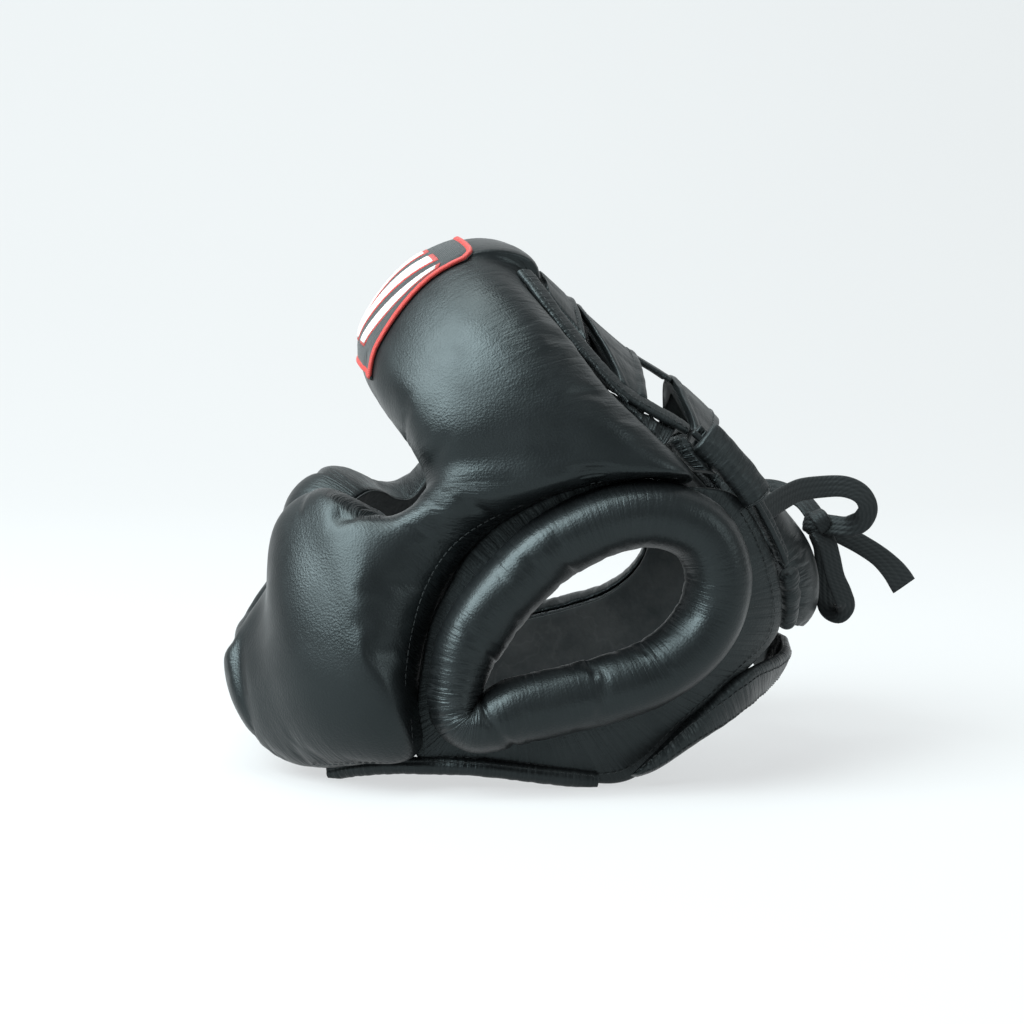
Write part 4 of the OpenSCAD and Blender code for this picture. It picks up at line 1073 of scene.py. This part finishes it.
# ---- Back pad ----
BACK_T = 17.0
PAD = open_curve([[51, 71.5, 40], [66, 66.5, 43], [82, 59.5, 44], [97, 54, 42], [113, 47, 37], [124, 37, 33],
                  [130, 26, 31], [131.5, 15, 29]], 10)
pad_in = np.gradient(PAD, axis=0)
pad_in = -unit(np.stack([pad_in[:, 1], -pad_in[:, 0]], 1))
pad_u = np.sin(np.linspace(-np.pi / 2, np.pi / 2, 49)) * 0.5 + np.linspace(-1, 1, 49) * 0.5
pad_i = np.arange(len(PAD)) / 5.0
end_i = (np.minimum(pad_i, 14 - pad_i) / 2)[:, None]
pad_body = (5 + (BACK_T - 5) * rounded(np.minimum(1, (1 - np.abs(pad_u)) / 0.5))[None]
            * rounded(np.minimum(1, 0.35 + end_i / 2)))
pad_out = (BACK_T - pad_body) * 0.5


def pad_at(depth, share=1.0):
    """Points of the back pad, depth below its outer outline."""
    u = pad_u * share
    drop = 9 * u[None] ** 2 + depth
    return np.stack([PAD[:, :1] - pad_in[:, :1] * drop, PAD[:, 2:3] * u[None],
                     PAD[:, 1:2] - pad_in[:, 1:2] * drop], -1)


pad_normal = np.stack([np.broadcast_to(pad_in[:, :1], pad_out.shape), 0 * pad_out,
                       np.broadcast_to(pad_in[:, 1:2], pad_out.shape)], -1)
pad_top = pad_at(pad_out)
pad_pins = np.zeros(len(pad_u))
pad_pins[[0, 1, -2, -1]] = [1, 0.5, 0.5, 1]
pad_top = inflate(pad_top, pad_normal, pad_pins, False, 4.0, 0.03, 1.6)
pad_d = along_path(np.concatenate([PAD[:, :2], 0 * PAD[:, :1]], 1))[:, None] + 0 * pad_u
pad_edge_d = (1 - np.abs(pad_u))[None] * PAD[:, 2:3]
pad_sink = 1.1 * np.exp(-pad_edge_d / 7) * creases(pad_d, pad_edge_d, 5.0, 171)
pad_end_d = np.minimum(pad_d, pad_d[-1:] - pad_d)
pad_sink += 0.9 * np.exp(-pad_end_d / 6) * creases(PAD[:, 2:3] * pad_u, pad_end_d, 6.0, 173)
pad_sink += 0.6 * (field(pad_d / 22, PAD[:, 2:3] * pad_u / 22 + 9, 177) - 0.5)
pad_top = pad_top - pad_normal * pad_sink[..., None]
pad_low = pad_at(pad_out + np.minimum(1.6, pad_body * 0.3) + 0.2, 0.975)
pad_rows = np.concatenate([pad_top, pad_low[:, ::-1]], 1)
pad_fold = np.zeros(pad_rows.shape[:2])
pad_fold[:, :len(pad_u)] = np.clip(1.2 * np.exp(-pad_edge_d / 8) + 0.9 * np.exp(-pad_end_d / 7), 0, 1.2)
piece("back_pad_leather", stand(pad_rows), SATIN, "back_pad_cover", fold=pad_fold, full=0.9)
fill_top = pad_out + np.minimum(1.6, pad_body * 0.3) + 1.5
fill_low = np.maximum(fill_top + 0.2, pad_out + pad_body - 1.9)
filling = np.concatenate([pad_at(fill_top, 0.94), pad_at(fill_low, 0.94)[:, ::-1]], 1)[1:-1]
piece("back_pad_filling", stand(filling), FOAM, "back_pad_foam", smooth=False, full=1.0)
inner_rows = np.concatenate([pad_at(pad_out + pad_body - 1.2), pad_at(pad_out + pad_body - 0.05)[:, ::-1]], 1)
piece("back_pad_suede", stand(inner_rows), SUEDE, "back_pad_lining", full=0.3)

# ---- Nape strap, its stub and their closure ----
STRAP_TOP = [[82, -80.5, -64], [86.8, -76, -51.2], [93.7, -69, -33.5], [105.2, -60, -9.3], [120, -35, 3],
             [125, 0, 7]]
STRAP_LOW = [[84.5, -80.5, -63], [91, -77.5, -56], [102, -68, -39], [115.5, -45, -20.5], [125, -14, -10.5],
             [126.5, 0, -9]]
NAPE_STEPS = 12


def round_nape(p):
    p = open_curve(p, NAPE_STEPS)
    return np.concatenate([p, mirrored(p[-2::-1])])


nape_a, nape_b = round_nape(STRAP_TOP), round_nape(STRAP_LOW)
middle = (len(nape_a) - 1) // 2
past = 2 * NAPE_STEPS // 3


def nape_rows(first, last, dipping, fold, seed):
    """The strap's inner face between two stations, and how its outer face swells and creases."""
    a_line, b_line = nape_a[first:last + 1], nape_b[first:last + 1]
    if dipping:
        dip = 7.4 * np.clip((35 - a_line[:, 1]) / 9, 0, 1)
        dip_b = 7.4 * np.clip((35 - b_line[:, 1]) / 9, 0, 1)
        a_line = a_line - np.stack([dip, 0 * dip, 0 * dip], 1)
        b_line = b_line - np.stack([dip_b, 0 * dip_b, 0 * dip_b], 1)
    out = unit(np.cross(np.gradient(a_line, axis=0), a_line - b_line))
    s = np.linspace(1, 0, 15)
    base = a_line[:, None] + (b_line - a_line)[:, None] * s[None, :, None]
    d = along_path(a_line)[:, None] + 0 * s
    bulge = 1 + 0.25 * (1 - (2 * s - 1) ** 2)
    wrinkles = fold * 0.7 * creases(d, s * 10, 5.0, seed)
    return base, out, bulge, wrinkles


def strap_solid(name, first, last, t, dipping, fold, seed, node, body):
    base, out, bulge, wrinkles = nape_rows(first, last, dipping, fold, seed)
    m = base.shape[1]
    edge = rounded(np.minimum(np.arange(m), np.arange(m)[::-1]) / 3 + 0.35)
    high = base + out[:, None] * ((t * bulge * edge)[None] - wrinkles)[..., None]
    mid = [(base[:, k] + high[:, k]) / 2 + unit(base[:, k] - base[:, q]) * 0.3 for k, q in ((-1, -2), (0, 1))]
    rows = np.concatenate([high, mid[0][:, None], base[:, ::-1], mid[1][:, None]], 1)
    piece(name, stand(rows), SATIN, node, body=body, fold=fold)
    return high, out


strap_face, strap_out = strap_solid("nape_strap_leather", 0, middle + past, 4.0, False, 0.9, 181,
                                    "nape_strap", STRAP)
stub_face, stub_out = strap_solid("nape_stub_leather", middle - past, 2 * middle, 3.2, True, 0.7, 187,
                                  "nape_stub", ROOT)
for node in ("hook_patch", "loop_patch"):
    ob = frame["nodes"][node]
    ob.data.materials.clear()
    ob.data.materials.append(HOOKS if node == "hook_patch" else LOOPS)

# ---- Stitch lines ----
def flips(line, up):
    return [(line, up), (mirrored(line), mirrored(up))]


seam_lines, seam_ups = [], []


def add_seam(line, up, both=True):
    for l, u in (flips(line, up) if both else [(line, up)]):
        seam_lines.append(stood(l))
        seam_ups.append(turned(u))


# Round the ear ring: one row on the face pad's rear edge, one on the panel below and behind it.
side_rows_at = np.arange(int(6.4 * STEPS), int(15.2 * STEPS))
s_edge = 1 - 3.4 / rib_length(FACE)[side_rows_at][:, None]
h_edge = np.maximum(PAD_FLOOR + LEATHER, face_height(FACE[side_rows_at], s_edge))
edge_pts, edge_up = face_at(FACE[side_rows_at], s_edge, h_edge + 0.25)
add_seam(edge_pts[:, 0], edge_up[:, 0])
behind = np.arange(int(8.2 * RING_STEPS), int(15.4 * RING_STEPS))
panel_pts, panel_up = panel_at(np.full((len(ring_line), 1), 0.9),
                               np.full((len(ring_line), 1), PANEL_TOP + 0.15))
add_seam(panel_pts[behind, 0], panel_up[behind, 0])
# Flap and strap edges.
for sheet_grid, edge_row in ((front_flap, -5), (rear_flap, 5), (rear_flap, -4)):
    add_seam(sheet_grid[edge_row] + [0, 0, STRAP_T + 0.1], crown_up(sheet_grid)[edge_row], False)
leaf_up = crown_up(cross_strap)
for k in (2, -3):
    add_seam(cross_strap[6:-6, k] + [0, 0, STRAP_T + 0.1], leaf_up[6:-6, k] * 1.0, False)
band_up = unit(np.broadcast_to(np.array([0, -0.45, 0.9]), band_path.shape))
add_seam(band_path + band_up * 1.5 + unit(np.cross(np.gradient(band_path, axis=0), band_up)) * 1.9, band_up)
sleeve_normal = unit(np.cross(np.gradient(sleeve_face(1.0), axis=0), np.gradient(sleeve_face(1.0), axis=1)))
sleeve_normal = sleeve_normal * np.sign(np.sum(sleeve_normal * sleeve_up[:, None], -1, keepdims=True))
add_seam(sleeve_face(1.0, sleeve_sink)[-2] + 0.2 * sleeve_normal[-2], sleeve_normal[-2])
add_seam(sleeve_face(1.0, sleeve_sink)[:, 3] + 0.2 * sleeve_normal[:, 3], sleeve_normal[:, 3])
stitches("seam_stitches", seam_lines, seam_ups, ROOT)

jaw_side = unit(np.cross(np.gradient(jaw, axis=0), jaw_up))
jaw_side = jaw_side * np.sign(jaw_side[..., 2:])
jaw_lines, jaw_ups = [], []
jaw_out = unit(jaw_up * 0.8 + jaw_side * 0.6)
line = jaw + jaw_up * 2.3 + jaw_side * 1.9
for l, u in ((line, jaw_out), (mirrored(line), mirrored(jaw_out))):
    jaw_lines.append(l)
    jaw_ups.append(u)
stitches("jaw_stitches", jaw_lines, jaw_ups, ROOT, EDGE_THREAD)
for name, face, out, body in (("nape_strap_stitches", strap_face, strap_out, STRAP),
                              ("nape_stub_stitches", stub_face, stub_out, ROOT)):
    lines = [stood(face[2:-2, k] + out[2:-2] * 0.1) for k in (2, -3)]
    stitches(name, lines, [turned(out[2:-2])] * 2, body)

# ---- Floor, light ----
def studio():
    """A pale sheet that runs along the floor and curves up behind."""
    profile = [(-2.5, 0.0), (0.5, 0.0), (0.9, 0.0)]
    profile += [(0.9 + 0.9 * math.sin(t), 0.9 - 0.9 * math.cos(t))
                for t in np.linspace(0.08, math.pi / 2, 18)]
    profile += [(1.8, 3.2)]
    side = -back
    flat = Vector((side.x, side.y, 0)).normalized()
    cross = Vector((-flat.y, flat.x, 0))
    points, faces = [], []
    for away, up in profile:
        for w in (-3.5, 3.5):
            points.append((flat * away + cross * w + Vector((0, 0, up - 0.0002)))[:])
    for k in range(len(profile) - 1):
        faces.append((2 * k, 2 * k + 1, 2 * k + 3, 2 * k + 2))
    me = bpy.data.meshes.new("studio_floor")
    me.from_pydata(points, [], faces)
    me.polygons.foreach_set("use_smooth", [True] * len(me.polygons))
    me.update()
    ob = linked("studio_floor", me)
    k = Look("studio_paper", 0.8)
    k.shader.inputs["Emission Color"].default_value = (0.97, 0.99, 1.0, 1)
    k.shader.inputs["Emission Strength"].default_value = 0.62
    ob.data.materials.append(k.done(k.blend(k.noise(3.0, 2.0), (0.17, 0.175, 0.175), (0.18, 0.185, 0.185))))


studio()
world = bpy.data.worlds.new("pale_room")
world.use_nodes = True
world.node_tree.nodes["Background"].inputs[0].default_value = (0.93, 0.98, 1.0, 1)
world.node_tree.nodes["Background"].inputs[1].default_value = 0.34
bpy.context.scene.world = world
bpy.context.scene.view_settings.view_transform = "Standard"


def area_light(name, at, size, power, colour):
    """A soft light that faces the middle of the headgear."""
    data = bpy.data.lights.new(name, "AREA")
    data.shape, data.size, data.size_y = "RECTANGLE", size[0], size[1]
    data.energy, data.color = power, colour
    ob = linked(name, data)
    ob.location = at
    ob.rotation_mode = "QUATERNION"
    ob.rotation_quaternion = (Vector((0, 0, 0.1)) - Vector(at)).to_track_quat("-Z", "Y")


area_light("key_light", (-1.15, -0.5, 1.15), (1.3, 1.2), 62, (0.90, 0.98, 1.0))
area_light("top_light", (-0.45, 0.0, 1.9), (1.2, 1.0), 24, (0.92, 1.0, 1.0))
area_light("side_light", (1.4, -0.7, 0.8), (0.5, 0.9), 5, (0.95, 1.0, 1.0))

for ob in [o for o in bpy.data.objects if o.name in ("Cube", "Light", "Camera")]:
    bpy.data.objects.remove(ob)
